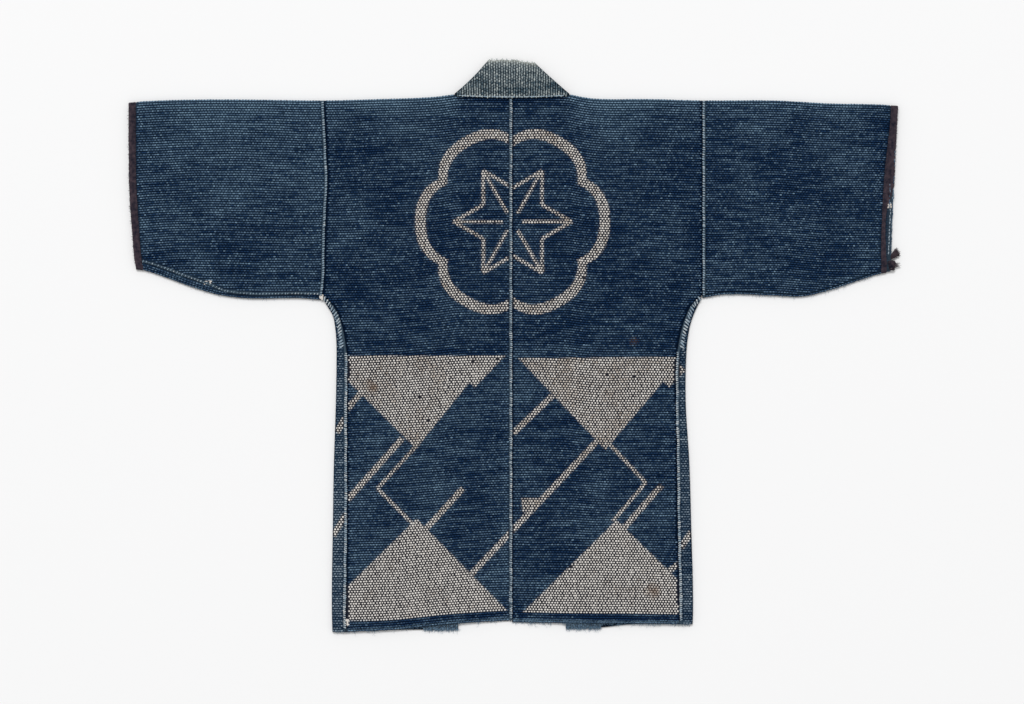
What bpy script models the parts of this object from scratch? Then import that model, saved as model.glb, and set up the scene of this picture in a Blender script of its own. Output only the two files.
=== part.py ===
"""A quilted Japanese fireman's coat, laid flat with its back up.

The coat is cut from narrow, straight lengths of thick stitched cloth. Each body
panel is one length, from the back hem over the shoulder and down the front to
the front hem. Each sleeve is one piece, folded along its top edge. A narrow
gusset joins back to front under each arm, a doubled collar band goes round the
neck and down both front edges, and a tape binds each cuff.

Frame: X to the wearer's right, Y towards the collar, Z up from the surface.
The back faces up, the fronts lie face down on Z = 0. A "reach" is a distance
from the centre back seam, out to either side. All sizes are in millimetres.
"""

import math
from collections import namedtuple

import bmesh
import bpy

MM = 0.001

# The cloth
WALL = 3.0  # several layers, quilted together
AIR = 0.6  # between front and back where they lie on each other
GAP = 0.3  # at every seam
RIB_PITCH = 3.9  # from one row of stitches to the next
RIB_HEIGHT = 0.7  # of a row over the furrow beside it
RIDGE_HEIGHT = 1.6  # of a seam's rolled edge
RIDGE_WIDTH = 5.0
FOLD_STEPS = 6  # faces round a half turn of cloth

# The body
SLEEVE_SEAM = 310.0  # reach of the seam between body and sleeve
SHOULDER_Y = 404.0  # mean height of the shoulder fold, for spacing rows
HEM_Y = -452.0  # mean height of the back hem, likewise
NECK_EDGE_Y = 408.2  # the back's top edge, just under the collar
UNRIBBED_ROWS = 4  # half rows left plain below the shoulder
ARMPIT_TOP = 88.0  # between these heights the side curves, and rows stand closer
ARMPIT_FOOT = -24.0
ARMPIT_STEP = 5.8
STRAIGHT_STEP = 70.0

# How high the back lies over the surface, under its inside face
BED_NECK = 3.4  # at the centre, by the neck
BED_HEM = 0.8  # at the centre, by the hem, where it sinks between the fronts
BED_BAND = 4.4  # over the collar band of each front

# The collar band
BAND_THICK = 4.0  # doubled cloth
NECK_BASE_REACH = 93.5  # the mitre fold's lower end
NECK_BASE_Y = 411.5
NECK_BASE_SAG = 0.8  # how far the base dips at the centre
NECK_TOP_REACH = 36.5  # the mitre fold's upper end
NECK_TOP_Y = 468.0
NECK_TOP_RISE = 1.6  # how far the top edge rises at the centre
SLUMP_RIGHT = 6.0  # how much lower the worn free edge lies at its right end
SLUMP_RIGHT_START = -10.0  # from here, right of the centre seam
SLUMP_RIGHT_RUN = 62.0
SLUMP_FOLD = 2.6  # and how far the left mitre fold sinks at its middle
SLUMP_FOLD_START = 34.0  # from here, left of the centre seam
SLUMP_FOLD_RUN = 24.0
BAND_LIFT_BASE = 8.2  # inside face of the neck part, over the back panel
BAND_LIFT_TOP = 4.3  # and at its free edge
BAND_SAG = 1.6  # how far the free edge sinks at the centre
BAND_SPREAD = 51.5  # how much farther out a band is at the hem than at the neck
BAND_COLUMNS = 3
BAND_LEG_ROWS = 7
BAND_LEG_TOP = 0.97  # share of the way to the mitre where a leg's flat rows end
BAND_COARSE_ROWS = 8
BAND_RIB_PITCH = 4.0  # at the base, where the collar's rows stand upright
BAND_RIB_HEIGHT = 0.7
BAND_END_Y = {"left": -461.0, "right": -459.0}

# The sleeves and cuffs
SLEEVE_MIDDLE = 475.0  # reach of the section between seam and cuff
SLEEVE_UNDER_ROWS = 12
SLEEVE_COARSE_ROWS = 8
UNDERARM_WRAP = {"left": 12.0, "right": 4.0}  # front cloth that shows on the back
UNDERARM_RIDGE = {"left": RIDGE_HEIGHT, "right": 0.0}
TAPE = 1.0
TAPE_COVER = TAPE + GAP  # what it adds over the cloth's end
TAPE_WIDTH = 11.0
TAPE_UPPER_STATIONS = 16

# Shapes read off as a few sections each, all in millimetres
ShoulderRow = namedtuple("ShoulderRow", "reach left right")
SHOULDER_LINE = (
    ShoulderRow(94, 410.5, 410.5),
    ShoulderRow(107, 408.5, 407.5),
    ShoulderRow(130, 406.0, 403.8),
    ShoulderRow(225, 402.4, 402.6),
    ShoulderRow(310, 400.4, 400.4),
    ShoulderRow(430, 401.8, 400.2),
    ShoulderRow(520, 401.8, 395.4),
    ShoulderRow(600, 399.0, 393.8),
    ShoulderRow(625, 396.8, 392.0),
)

SideRow = namedtuple("SideRow", "y seam_left edge_left seam_right edge_right")
SIDES = (
    SideRow(-468, 269.8, 292.4, 272.5, 293.4),
    SideRow(-430, 269.8, 293.4, 272.5, 294.8),
    SideRow(-290, 268.0, 291.8, 269.5, 291.8),
    SideRow(-190, 268.0, 290.1, 268.5, 288.8),
    SideRow(-90, 268.6, 286.9, 267.5, 282.9),
    SideRow(-15, 268.3, 285.8, 268.0, 283.8),
    SideRow(10, 271.0, 286.2, 271.5, 285.8),
    SideRow(35, 276.5, 288.6, 277.5, 290.1),
    SideRow(50, 282.0, 291.8, 283.0, 295.0),
    SideRow(67, 291.5, 301.5, 291.5, 302.5),
    SideRow(79, 304.6, 309.2, 304.6, 309.2),
    SideRow(84, 310.0, 313.0, 310.0, 313.0),
)
GUSSET_TOP = 78.6
GUSSET_STRIP = 0.4  # least width of the upper strip, at the armpit's point
RIDGE_FOOT = 0.8  # share of a narrow strip that its rolled edge may take

HemRow = namedtuple("HemRow", "reach back_left back_right front_left front_right")
HEMS = (
    HemRow(0, -445.8, -448.6, -461.0, -458.0),
    HemRow(88, -450.7, -450.0, -461.0, -458.0),
    HemRow(150, -456.6, -450.6, -461.0, -457.0),
    HemRow(186, -460.5, -450.8, -461.6, -453.0),
    HemRow(270, -464.6, -452.0, -463.6, -451.0),
    HemRow(292, -465.4, -452.4, -464.4, -451.2),
)

UnderarmRow = namedtuple("UnderarmRow", "reach left right")
UNDERARMS = (
    UnderarmRow(310, 75.8, 79.0),
    UnderarmRow(345, 78.6, 84.6),
    UnderarmRow(430, 78.4, 82.6),
    UnderarmRow(475, 83.6, 81.6),
    UnderarmRow(520, 96.4, 92.6),
    UnderarmRow(560, 111.0, 106.0),
    UnderarmRow(600, 124.0, 118.4),
    UnderarmRow(625, 125.5, 121.8),
)

CuffRow = namedtuple("CuffRow", "y left right")
CUFF_EDGES = (
    CuffRow(118, 610.0, 617.0),
    CuffRow(140, 614.5, 618.2),
    CuffRow(185, 618.5, 619.6),
    CuffRow(255, 623.2, 622.2),
    CuffRow(330, 624.3, 625.4),
    CuffRow(400, 624.3, 629.2),
)

# The box is centred on X = 0, so the centre seam stands a little off it
SEAM_X = (CUFF_EDGES[-1].left - CUFF_EDGES[-1].right) / 2

# Soft swells where the thick cloth doesn't lie quite flat
Swell = namedtuple("Swell", "side reach y length width turn height")
SWELLS = (
    Swell("left", 205, 150, 150, 34, 35, 1.6),
    Swell("right", 215, 165, 140, 32, -38, 1.5),
    Swell("left", 180, -150, 170, 40, 8, 1.2),
    Swell("right", 150, -250, 190, 44, -5, 1.3),
    Swell("left", 440, 220, 120, 36, 62, 1.5),
    Swell("right", 450, 230, 130, 34, -55, 1.6),
    Swell("left", 110, 20, 130, 30, 80, 0.9),
    Swell("right", 200, 10, 120, 32, -75, 1.0),
)

INDIGO = (0.024, 0.046, 0.090, 1.0)
INDIGO_SLEEVE = (0.026, 0.050, 0.098, 1.0)
INDIGO_WORN = (0.060, 0.082, 0.110, 1.0)
COLLAR_GREY = (0.098, 0.125, 0.135, 1.0)
TAPE_BROWN = (0.040, 0.030, 0.034, 1.0)
COTTON_ROUGHNESS = 0.92
TAPE_ROUGHNESS = 0.85

SIGN = {"left": -1.0, "right": 1.0}
SETTLING_STEPS = 6  # enough for a row and a column to meet within a hair


def between(low, high, share):
    return low + (high - low) * share


def read(table, column, at):
    """A column's value at a place, on a smooth curve through the table's rows."""
    places = [row[0] for row in table]
    values = [getattr(row, column) for row in table]
    if at <= places[0]:
        return values[0]
    if at >= places[-1]:
        return values[-1]
    n = next(i for i, place in enumerate(places) if place > at) - 1
    span = places[n + 1] - places[n]
    steps = [
        (values[i + 1] - values[i]) / (places[i + 1] - places[i])
        for i in range(len(places) - 1)
    ]
    slope_in = (steps[n - 1] + steps[n]) / 2 if n > 0 else steps[n]
    slope_out = (steps[n] + steps[n + 1]) / 2 if n + 1 < len(steps) else steps[n]
    t = (at - places[n]) / span
    return (
        (2 * t**3 - 3 * t**2 + 1) * values[n]
        + (t**3 - 2 * t**2 + t) * span * slope_in
        + (3 * t**2 - 2 * t**3) * values[n + 1]
        + (t**3 - t**2) * span * slope_out
    )


def shoulder(side, reach):
    return read(SHOULDER_LINE, side, reach)


def side_seam(side, y):
    return read(SIDES, f"seam_{side}", y)


def gusset_edge(side, y):
    return read(SIDES, f"edge_{side}", y)


def back_hem(side, reach):
    return read(HEMS, f"back_{side}", reach)


def front_hem(side, reach):
    return read(HEMS, f"front_{side}", reach)


def band_outer(y):
    """Reach of the seam between a front and its collar band."""
    fall = (NECK_BASE_Y - y) / (NECK_BASE_Y - BAND_END_Y["left"])
    return NECK_BASE_REACH + BAND_SPREAD * fall


def band_inner(y):
    """Reach of a collar band's free edge, beside the front opening."""
    fall = (NECK_TOP_Y - y) / (NECK_TOP_Y - BAND_END_Y["left"])
    return NECK_TOP_REACH + BAND_SPREAD * fall


def swell(side, reach, y):
    """How far the soft swells lift the upper cloth at a place."""
    lift = 0.0
    for row in SWELLS:
        if row.side != side:
            continue
        turn = math.radians(row.turn)
        right, up = reach - row.reach, y - row.y
        along = right * math.cos(turn) + up * math.sin(turn)
        across = up * math.cos(turn) - right * math.sin(turn)
        lift += row.height * math.exp(
            -((along / row.length * 2) ** 2) - (across / row.width) ** 2
        )
    return lift


def rib(half_row, last_row):
    """Every second half row stands up, apart from those beside an edge."""
    if half_row % 2 == 0 or half_row > last_row - UNRIBBED_ROWS:
        return 0.0
    return RIB_HEIGHT


def placed(side, reach, y, z):
    return (SEAM_X + SIGN[side] * reach, y, z)


def finished(name, mesh):
    """An object of the closed mesh, its faces pointing out."""
    bmesh.ops.recalc_face_normals(mesh, faces=mesh.faces)
    many_sided = [face for face in mesh.faces if len(face.verts) > 3]
    bmesh.ops.triangulate(mesh, faces=many_sided)
    data = bpy.data.meshes.new(name)
    mesh.to_mesh(data)
    mesh.free()
    return bpy.data.objects.new(name, data)


def closed_wall(name, outer, inner, coarse, present):
    """A cloth wall as one closed mesh, between two grids of points.

    The outer grid has every row, and the inner one only the coarse rows, so that
    fine ribs outside cost no faces inside. present(row, column) says where the
    cloth is: the wall gets an edge wherever it ends. Points of one grid in the
    same place are one vertex, which trims a row that runs into a slanting edge.
    """
    mesh = bmesh.new()
    known = {}

    def vertex(grid, row, column):
        point = grid[row][column]
        key = (grid is outer, *(round(value, 3) for value in point))
        if key not in known:
            known[key] = mesh.verts.new([value * MM for value in point])
        return known[key]

    def face(corners):
        ring = [v for n, v in enumerate(corners) if v is not corners[n - 1]]
        if len(ring) > 2:
            mesh.faces.new(ring)

    def cell(grid, low, high, column):
        face([
            vertex(grid, low, column),
            vertex(grid, low, column + 1),
            vertex(grid, high, column + 1),
            vertex(grid, high, column),
        ])

    columns = len(outer[0])

    def cloth(row, column):
        inside = 0 <= row < len(outer) - 1 and 0 <= column < columns - 1
        return inside and present(row, column)

    for row in range(len(outer) - 1):
        for column in range(columns - 1):
            if cloth(row, column):
                cell(outer, row, row + 1, column)
    for low, high in zip(coarse, coarse[1:]):
        for column in range(columns - 1):
            if cloth(low, column):
                cell(inner, low, high, column)
        for column in range(columns):
            if cloth(low, column) != cloth(low, column - 1):
                strip = [vertex(outer, row, column) for row in range(high, low - 1, -1)]
                face([vertex(inner, low, column), vertex(inner, high, column), *strip])
    for row in coarse:
        for column in range(columns - 1):
            if cloth(row, column) != cloth(row - 1, column):
                face([
                    vertex(outer, row, column),
                    vertex(outer, row, column + 1),
                    vertex(inner, row, column + 1),
                    vertex(inner, row, column),
                ])
    return finished(name, mesh)


def half_turn(step):
    """Sine and cosine of a place along a fold, from its upper side to its lower."""
    angle = math.pi * step / FOLD_STEPS
    return math.sin(angle), math.cos(angle)


def settled(reach_at, y_at, start):
    """Where a slanting column, reach_at(y), crosses a slanting row, y_at(reach)."""
    y = start
    for _ in range(SETTLING_STEPS):
        reach = reach_at(y)
        y = y_at(reach)
    return reach, y


def heights_down(high, low):
    """Heights from high to low, close together where the side curves."""
    heights = [high]
    while heights[-1] > low:
        curved = ARMPIT_FOOT < heights[-1] <= ARMPIT_TOP
        step = ARMPIT_STEP if curved else STRAIGHT_STEP
        if heights[-1] > ARMPIT_TOP > heights[-1] - step:
            step = heights[-1] - ARMPIT_TOP
        heights.append(max(low, heights[-1] - step))
    return heights


def coarse_rows(heights):
    """Rows for the plain inside of a ribbed stretch whose heights rise."""
    rows = [0]
    for row, height in enumerate(heights[:-1]):
        curved = ARMPIT_FOOT < height <= ARMPIT_TOP
        if height - heights[rows[-1]] >= (ARMPIT_STEP if curved else STRAIGHT_STEP):
            rows.append(row)
    return [*rows, len(heights) - 1]


def body_panel(side):
    """One length of cloth: back, shoulder fold and front."""
    half = GAP / 2
    columns = [
        lambda y: half,
        band_inner,
        lambda y: band_outer(y) + GAP,
        lambda y: side_seam(side, y) - half,
    ]
    centre_columns = 1
    if side == "left":  # its centre edge is rolled up over the seam
        columns.insert(1, lambda y: RIDGE_WIDTH)
        centre_columns = 2
    last = len(columns) - 1
    first_front = last - 1
    back_rows = 2 * round((SHOULDER_Y - HEM_Y) / RIB_PITCH)

    def bed(column, share):
        if column < centre_columns:
            return between(BED_HEM, BED_NECK, share)
        return WALL + AIR if column == last else BED_BAND

    def back_top(column, reach):
        if column < first_front:
            return NECK_EDGE_Y
        return shoulder(side, reach) - (bed(column, 1.0) + WALL) / 2

    outer, inner = [], []
    heights = [between(HEM_Y, SHOULDER_Y, n / back_rows) for n in range(back_rows + 1)]
    for row, height in enumerate(heights):
        share = row / back_rows
        outside, inside = [], []
        for column, reach_at in enumerate(columns):
            reach, y = settled(
                reach_at,
                lambda r: between(back_hem(side, r), back_top(column, r), share),
                height,
            )
            under = bed(column, share) + swell(side, reach, y)
            over = under + WALL + rib(row, back_rows)
            if side == "left" and column == 0 and row <= back_rows - UNRIBBED_ROWS:
                over += RIDGE_HEIGHT
            outside.append(placed(side, reach, y, over))
            inside.append(placed(side, reach, y, under))
        outer.append(outside)
        inner.append(inside)
    for step in range(1, FOLD_STEPS + 1):
        out, up = half_turn(step)
        outside, inside = [], []
        for column, reach_at in enumerate(columns):
            reach, y = settled(reach_at, lambda r: back_top(column, r), SHOULDER_Y)
            radius = (bed(column, 1.0) + WALL) / 2
            hollow = radius - WALL
            outside.append(placed(side, reach, y + radius * out, radius * (1 + up)))
            inside.append(placed(side, reach, y + hollow * out, radius + hollow * up))
        outer.append(outside)
        inner.append(inside)
    for height in heights_down(SHOULDER_Y, HEM_Y)[1:]:
        share = (SHOULDER_Y - height) / (SHOULDER_Y - HEM_Y)
        outside, inside = [], []
        for column, reach_at in enumerate(columns):
            reach, y = settled(
                reach_at,
                lambda r: between(back_top(column, r), front_hem(side, r), share),
                height,
            )
            outside.append(placed(side, reach, y, 0.0))
            inside.append(placed(side, reach, y, WALL))
        outer.append(outside)
        inner.append(inside)
    return closed_wall(
        f"body_{side}",
        outer,
        inner,
        [*coarse_rows(heights), *range(back_rows + 1, len(outer))],
        lambda row, column: row < back_rows or column >= first_front,
    )


def cuff_edge(side, y):
    return read(CUFF_EDGES, side, y)


def underarm(side, reach):
    return read(UNDERARMS, side, reach)


def sleeve(side):
    """One piece folded along its top edge and seamed under the arm."""
    columns = [
        lambda y: SLEEVE_SEAM + GAP / 2,
        lambda y: SLEEVE_SEAM + RIDGE_WIDTH,
        lambda y: SLEEVE_MIDDLE,
        lambda y: cuff_edge(side, y) - TAPE_COVER - TAPE_WIDTH - 1.0,
        lambda y: cuff_edge(side, y) - TAPE_COVER - TAPE_WIDTH,
        lambda y: cuff_edge(side, y) - TAPE_COVER,
    ]
    bound = len(columns) - 2  # from here on the tape covers the cloth
    wrap = UNDERARM_WRAP[side]
    full = 2 * WALL + AIR
    insets = [TAPE_COVER if column >= bound else 0.0 for column in range(len(columns))]

    def fold_radius(column):
        return (full - insets[column]) / 2

    def fold_top(column, reach):
        return shoulder(side, reach) - insets[column] - fold_radius(column)

    def fold_foot(column, reach):
        return underarm(side, reach) + insets[column] + fold_radius(column)

    outer, inner = [], []

    def add_row(point_at):
        points = [point_at(column, reach_at) for column, reach_at in enumerate(columns)]
        outer.append([outside for outside, _ in points])
        inner.append([inside for _, inside in points])

    half_pitch = RIB_PITCH / 2
    depth = max(row.left for row in SHOULDER_LINE) - UNDERARMS[0].left
    back_rows = 2 * round(depth / RIB_PITCH)

    def back_point(column, reach_at, row):
        from_top = (back_rows - row) * half_pitch
        reach, y = settled(
            reach_at,
            lambda r: max(underarm(side, r) + wrap, fold_top(column, r) - from_top),
            SHOULDER_Y - from_top,
        )
        seam = underarm(side, reach) + wrap
        lift = swell(side, reach, y)
        over = full + lift
        if column < bound:
            rolled = max(0.0, 1.0 - (y - seam) / RIDGE_WIDTH) * UNDERARM_RIDGE[side]
            over += max(rolled, RIDGE_HEIGHT if column == 0 else 0.0)
            over += rib(row, back_rows) if y > seam else 0.0
        inside = placed(side, reach, y, WALL + AIR + lift)
        return placed(side, reach, y, over), inside

    for row in range(back_rows + 1):
        add_row(lambda column, reach_at: back_point(column, reach_at, row))

    def fold_point(column, reach_at, step, edge_at, way):
        out, up = half_turn(step)
        reach, y = settled(reach_at, lambda r: edge_at(column, r), SHOULDER_Y)
        radius, level = fold_radius(column), (full + insets[column]) / 2
        inside = placed(side, reach, y + AIR / 2 * out * way, (full + AIR * up * way) / 2)
        outside = (reach, y + radius * out * way, level + radius * up * way)
        return placed(side, *outside), inside

    for step in range(1, FOLD_STEPS + 1):
        add_row(lambda column, reach_at: fold_point(column, reach_at, step, fold_top, 1))

    def front_point(column, reach_at, share):
        reach, y = settled(
            reach_at,
            lambda r: between(fold_top(column, r), fold_foot(column, r), share),
            between(SHOULDER_Y, ARMPIT_TOP, share),
        )
        return placed(side, reach, y, insets[column]), placed(side, reach, y, WALL)

    for row in range(1, SLEEVE_UNDER_ROWS):
        share = row / SLEEVE_UNDER_ROWS
        add_row(lambda column, reach_at: front_point(column, reach_at, share))
    for step in range(FOLD_STEPS + 1):
        add_row(lambda column, reach_at: fold_point(column, reach_at, step, fold_foot, -1))

    def wrapped_edge(column, reach_at):
        reach, y = settled(reach_at, lambda r: underarm(side, r) + wrap - GAP, ARMPIT_TOP)
        return placed(side, reach, y, full), placed(side, reach, y, WALL + AIR)

    add_row(wrapped_edge)
    coarse = [*range(0, back_rows, SLEEVE_COARSE_ROWS), *range(back_rows, len(outer))]
    return closed_wall(f"sleeve_{side}", outer, inner, coarse, lambda row, column: True)


def cuff_binding(side):
    """A tape folded over the raw end of the sleeve, all the way round."""
    full = 2 * WALL + AIR
    turn = (full + TAPE_COVER) / 2  # radius of the bound tube's folds, and its mid level
    inward = TAPE_COVER + TAPE_WIDTH - GAP
    profile = (  # how far in from the cuff's edge, then the loop's radius and mid level
        (inward, turn, turn),
        (0.0, turn, turn),
        (0.0, AIR / 2, full / 2),
        (TAPE, AIR / 2, full / 2),
        (TAPE, turn - TAPE, turn),
        (inward, turn - TAPE, turn),
    )
    stations = [(n / TAPE_UPPER_STATIONS, 0.0, 1.0) for n in range(TAPE_UPPER_STATIONS)]
    stations += [(1.0, *half_turn(step)) for step in range(FOLD_STEPS)]
    stations += [(1 - n / SLEEVE_UNDER_ROWS, 0.0, -1.0) for n in range(SLEEVE_UNDER_ROWS)]
    for step in range(FOLD_STEPS):
        out, up = half_turn(step)
        stations.append((0.0, -out, -up))
    mesh = bmesh.new()
    loops = []
    for share, out, up in stations:
        loop = []
        for inset, radius, level in profile:
            reach, y = settled(
                lambda height: cuff_edge(side, height) - inset,
                lambda r: between(underarm(side, r) + turn, shoulder(side, r) - turn, share),
                between(ARMPIT_TOP, SHOULDER_Y, share),
            )
            point = placed(side, reach, y + radius * out, level + radius * up)
            loop.append(mesh.verts.new([value * MM for value in point]))
        loops.append(loop)
    for n, loop in enumerate(loops):
        before = loops[n - 1]
        for m in range(len(profile)):
            mesh.faces.new([before[m - 1], before[m], loop[m], loop[m - 1]])
    return finished(f"cuff_binding_{side}", mesh)


def side_gusset(side):
    """A narrow strip from armpit to hem, folded lengthwise along its outer edge."""
    full = 2 * WALL + AIR
    radius, hollow = full / 2, AIR / 2
    outer, inner = [], []
    for height in heights_down(GUSSET_TOP, HEM_Y):
        share = (GUSSET_TOP - height) / (GUSSET_TOP - HEM_Y)
        seam, y = settled(
            lambda at: side_seam(side, at) + GAP / 2,
            lambda r: between(GUSSET_TOP, back_hem(side, r), share),
            height,
        )
        turn = max(gusset_edge(side, y) - radius, seam + GUSSET_STRIP)
        foot = between(seam, turn, min(RIDGE_FOOT, RIDGE_WIDTH / (turn - seam)))
        lift = swell(side, seam, y)
        outside = [(seam, full + lift + RIDGE_HEIGHT), (foot, full + lift)]
        inside = [(seam, full - WALL + lift), (foot, full - WALL + lift)]
        for step in range(0, FOLD_STEPS + 1, 2):
            out, up = half_turn(step)
            outside.append((turn + radius * out, radius * (1 + up)))
            inside.append((turn + hollow * out, radius + hollow * up))
        outside.append((seam, 0.0))
        inside.append((seam, WALL))
        outer.append([placed(side, reach, y, z) for reach, z in outside])
        inner.append([placed(side, reach, y, z) for reach, z in inside])
    rows = list(range(len(outer)))
    return closed_wall(f"side_gusset_{side}", outer, inner, rows, lambda row, column: True)


def gentle(value):
    """A share from 0 to 1 that starts and ends softly."""
    share = min(max(value, 0.0), 1.0)
    return share * share * (3 - 2 * share)


def neck_slump(x, y):
    """How much lower the worn collar lies towards its right end and its left fold."""
    share = min(max((y - NECK_BASE_Y) / (NECK_TOP_Y - NECK_BASE_Y), 0.0), 1.0)
    aside = x - SEAM_X
    right = gentle((aside - SLUMP_RIGHT_START) / SLUMP_RIGHT_RUN) * share**0.8
    fold = gentle((-aside - SLUMP_FOLD_START) / SLUMP_FOLD_RUN) * 4 * share * (1 - share)
    return SLUMP_RIGHT * right + SLUMP_FOLD * fold


def collar():
    """One doubled band, mitred at both ends of the neck and running down each front."""
    shares = [n / (BAND_COLUMNS - 1) for n in range(BAND_COLUMNS)]  # base to free edge
    run = NECK_BASE_REACH - NECK_TOP_REACH
    rise = NECK_TOP_Y - NECK_BASE_Y
    length = math.hypot(run, rise)
    away_x, away_y = rise / length, run / length  # square to the mitre fold

    def lift(share):
        return between(BAND_LIFT_BASE, BAND_LIFT_TOP, share)

    def mitre(share):
        """The fold's own line, and the radius of its outer face there."""
        radius = (lift(share) + BAND_THICK) / 2
        reach = between(NECK_BASE_REACH, NECK_TOP_REACH, share) - radius * away_x
        y = between(NECK_BASE_Y, NECK_TOP_Y, share) - radius * away_y
        return reach, y, radius

    def leg(side):
        """Rows from a front's hem up to the mitre, under the back."""
        rows = []
        end = BAND_END_Y[side]
        for row in range(BAND_LEG_ROWS):
            up = row / (BAND_LEG_ROWS - 1) * BAND_LEG_TOP
            outside, inside = [], []
            for share in shares:
                y = between(end, between(NECK_BASE_Y, NECK_TOP_Y, share), up)
                reach = between(band_outer(y), band_inner(y), share)
                outside.append(placed(side, reach, y, 0.0))
                inside.append(placed(side, reach, y, BAND_THICK))
            rows.append((outside, inside))
        for step in range(FOLD_STEPS + 1):
            out, up = half_turn(step)
            outside, inside = [], []
            for share in shares:
                reach, y, radius = mitre(share)
                hollow = radius - BAND_THICK
                for line, turn in ((outside, radius), (inside, hollow)):
                    at = (reach + turn * out * away_x, y + turn * out * away_y)
                    line.append(placed(side, *at, radius - turn * up))
            rows.append((outside, inside))
        return rows

    neck = []
    count = 2 * round(NECK_BASE_REACH / BAND_RIB_PITCH)
    neck_rows = 2 * count
    for row in range(1, neck_rows):
        across = 2 * row / neck_rows - 1  # -1 at the left mitre, 1 at the right one
        dip = 1 - across * across
        outside, inside = [], []
        for share in shares:
            reach, y, _ = mitre(share)
            y += between(-NECK_BASE_SAG, NECK_TOP_RISE, share) * dip
            under = lift(share) - BAND_SAG * share * dip
            over = under + BAND_THICK
            over += BAND_RIB_HEIGHT if row % 2 and 2 < row < neck_rows - 2 else 0.0
            x = SEAM_X + reach * across
            outside.append((x, y, over))
            inside.append((x, y, under))
        neck.append((outside, inside))
    rows = [*leg("left"), *neck, *reversed(leg("right"))]

    def slumped(line):
        return [(x, y - neck_slump(x, y), z) for x, y, z in line]

    outer = [slumped(outside) for outside, _ in rows]
    inner = [slumped(inside) for _, inside in rows]
    before = BAND_LEG_ROWS + FOLD_STEPS
    ribbed = range(before, before + neck_rows, BAND_COARSE_ROWS)
    coarse = [*range(before), *ribbed, *range(before + neck_rows, len(rows))]
    return closed_wall("collar", outer, inner, coarse, lambda row, column: True)


def material(name, colour, roughness):
    made = bpy.data.materials.new(name)
    made.use_nodes = True
    shader = made.node_tree.nodes["Principled BSDF"]
    shader.inputs["Base Color"].default_value = colour
    shader.inputs["Roughness"].default_value = roughness
    shader.inputs["Metallic"].default_value = 0.0
    return made


def main():
    for old in list(bpy.data.objects):
        bpy.data.objects.remove(old, do_unlink=True)
    coat = bpy.data.collections.new("fireman_coat")
    bpy.context.scene.collection.children.link(coat)
    pieces = []
    for side in SIGN:
        pieces += [
            (body_panel(side), INDIGO, COTTON_ROUGHNESS),
            (sleeve(side), INDIGO_SLEEVE, COTTON_ROUGHNESS),
            (side_gusset(side), INDIGO_WORN, COTTON_ROUGHNESS),
            (cuff_binding(side), TAPE_BROWN, TAPE_ROUGHNESS),
        ]
    pieces.append((collar(), COLLAR_GREY, COTTON_ROUGHNESS))
    for piece, colour, roughness in pieces:
        coat.objects.link(piece)
        piece.data.materials.append(material(f"{piece.name}_cloth", colour, roughness))


main()
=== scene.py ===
# %% [markdown]
# # A quilted fireman's coat, laid flat
#
# The coat is indigo cotton, many layers thick, quilted all over with rows of short
# stitches. It lies on its fronts, with its back up and its sleeves spread. The packed
# model already holds every panel as a plain cloth wall at its real size. This script
# gives each wall its stitches, seams, wear and fray, and sets a camera, table and lamp over it.
#
# Everything is measured in millimetres from the coat's centre back seam, and turned
# into metres only when a mesh is made.

# %% Load the imported model
import math

import bmesh
import bpy
import numpy as np
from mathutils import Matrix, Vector


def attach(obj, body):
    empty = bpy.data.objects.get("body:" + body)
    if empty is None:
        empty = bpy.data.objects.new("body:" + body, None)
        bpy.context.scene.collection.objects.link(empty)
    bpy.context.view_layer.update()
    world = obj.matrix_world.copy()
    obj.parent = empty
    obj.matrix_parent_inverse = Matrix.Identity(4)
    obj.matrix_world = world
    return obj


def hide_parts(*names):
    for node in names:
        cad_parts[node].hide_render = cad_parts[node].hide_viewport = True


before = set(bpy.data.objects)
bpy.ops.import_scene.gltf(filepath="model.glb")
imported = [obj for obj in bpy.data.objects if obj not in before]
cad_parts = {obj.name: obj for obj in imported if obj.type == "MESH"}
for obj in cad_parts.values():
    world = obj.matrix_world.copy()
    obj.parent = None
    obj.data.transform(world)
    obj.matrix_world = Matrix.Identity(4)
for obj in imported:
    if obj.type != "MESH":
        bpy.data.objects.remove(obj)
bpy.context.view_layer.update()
print("nodes:", sorted(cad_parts))

# %% [markdown]
# ## The camera
#
# The coat is photographed from straight above. A long lens far away keeps its edges
# square, as a short one close by would show more of the folds' sides. The lens follows
# from the distance and from the width of table that fills the picture.

# %% Place the camera over the coat
MM = 0.001
SEAM_X = -2.45  # the centre back seam
VIEW_WIDTH = 1669.0  # of table, from the left edge of the picture to the right
VIEW_CENTRE = (SEAM_X, -9.0)
CAMERA_HEIGHT = 4000.0
SENSOR = 36.0

camera_data = bpy.data.cameras.new("overhead camera")
camera_data.sensor_width = SENSOR
camera_data.lens = SENSOR * CAMERA_HEIGHT / VIEW_WIDTH
camera = bpy.data.objects.new("overhead camera", camera_data)
camera.location = Vector((*VIEW_CENTRE, CAMERA_HEIGHT)) * MM
bpy.context.scene.collection.objects.link(camera)
bpy.context.scene.camera = camera
print("lens", round(camera_data.lens, 1), "mm")

# %% [markdown]
# ## The cut of the coat
#
# A maker keeps a coat as a handful of measures: where the shoulder line runs, how the
# side curves into the armpit, how the hem hangs. The same short tables serve here.
# Each row is one place, and a smooth curve through the rows gives the cloth between
# them. A "reach" is a distance out from the centre seam, to either side.

# %% The cloth's thicknesses
WALL = 3.0
AIR = 0.6
GAP = 0.3
ROW_PITCH = 3.9
RIB_HEIGHT = 0.7
RIDGE_HEIGHT = 1.6
RIDGE_WIDTH = 5.0
SIDES = {"left": -1.0, "right": 1.0}
print("two layers of cloth lie", 2 * WALL + AIR, "mm high")

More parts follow.
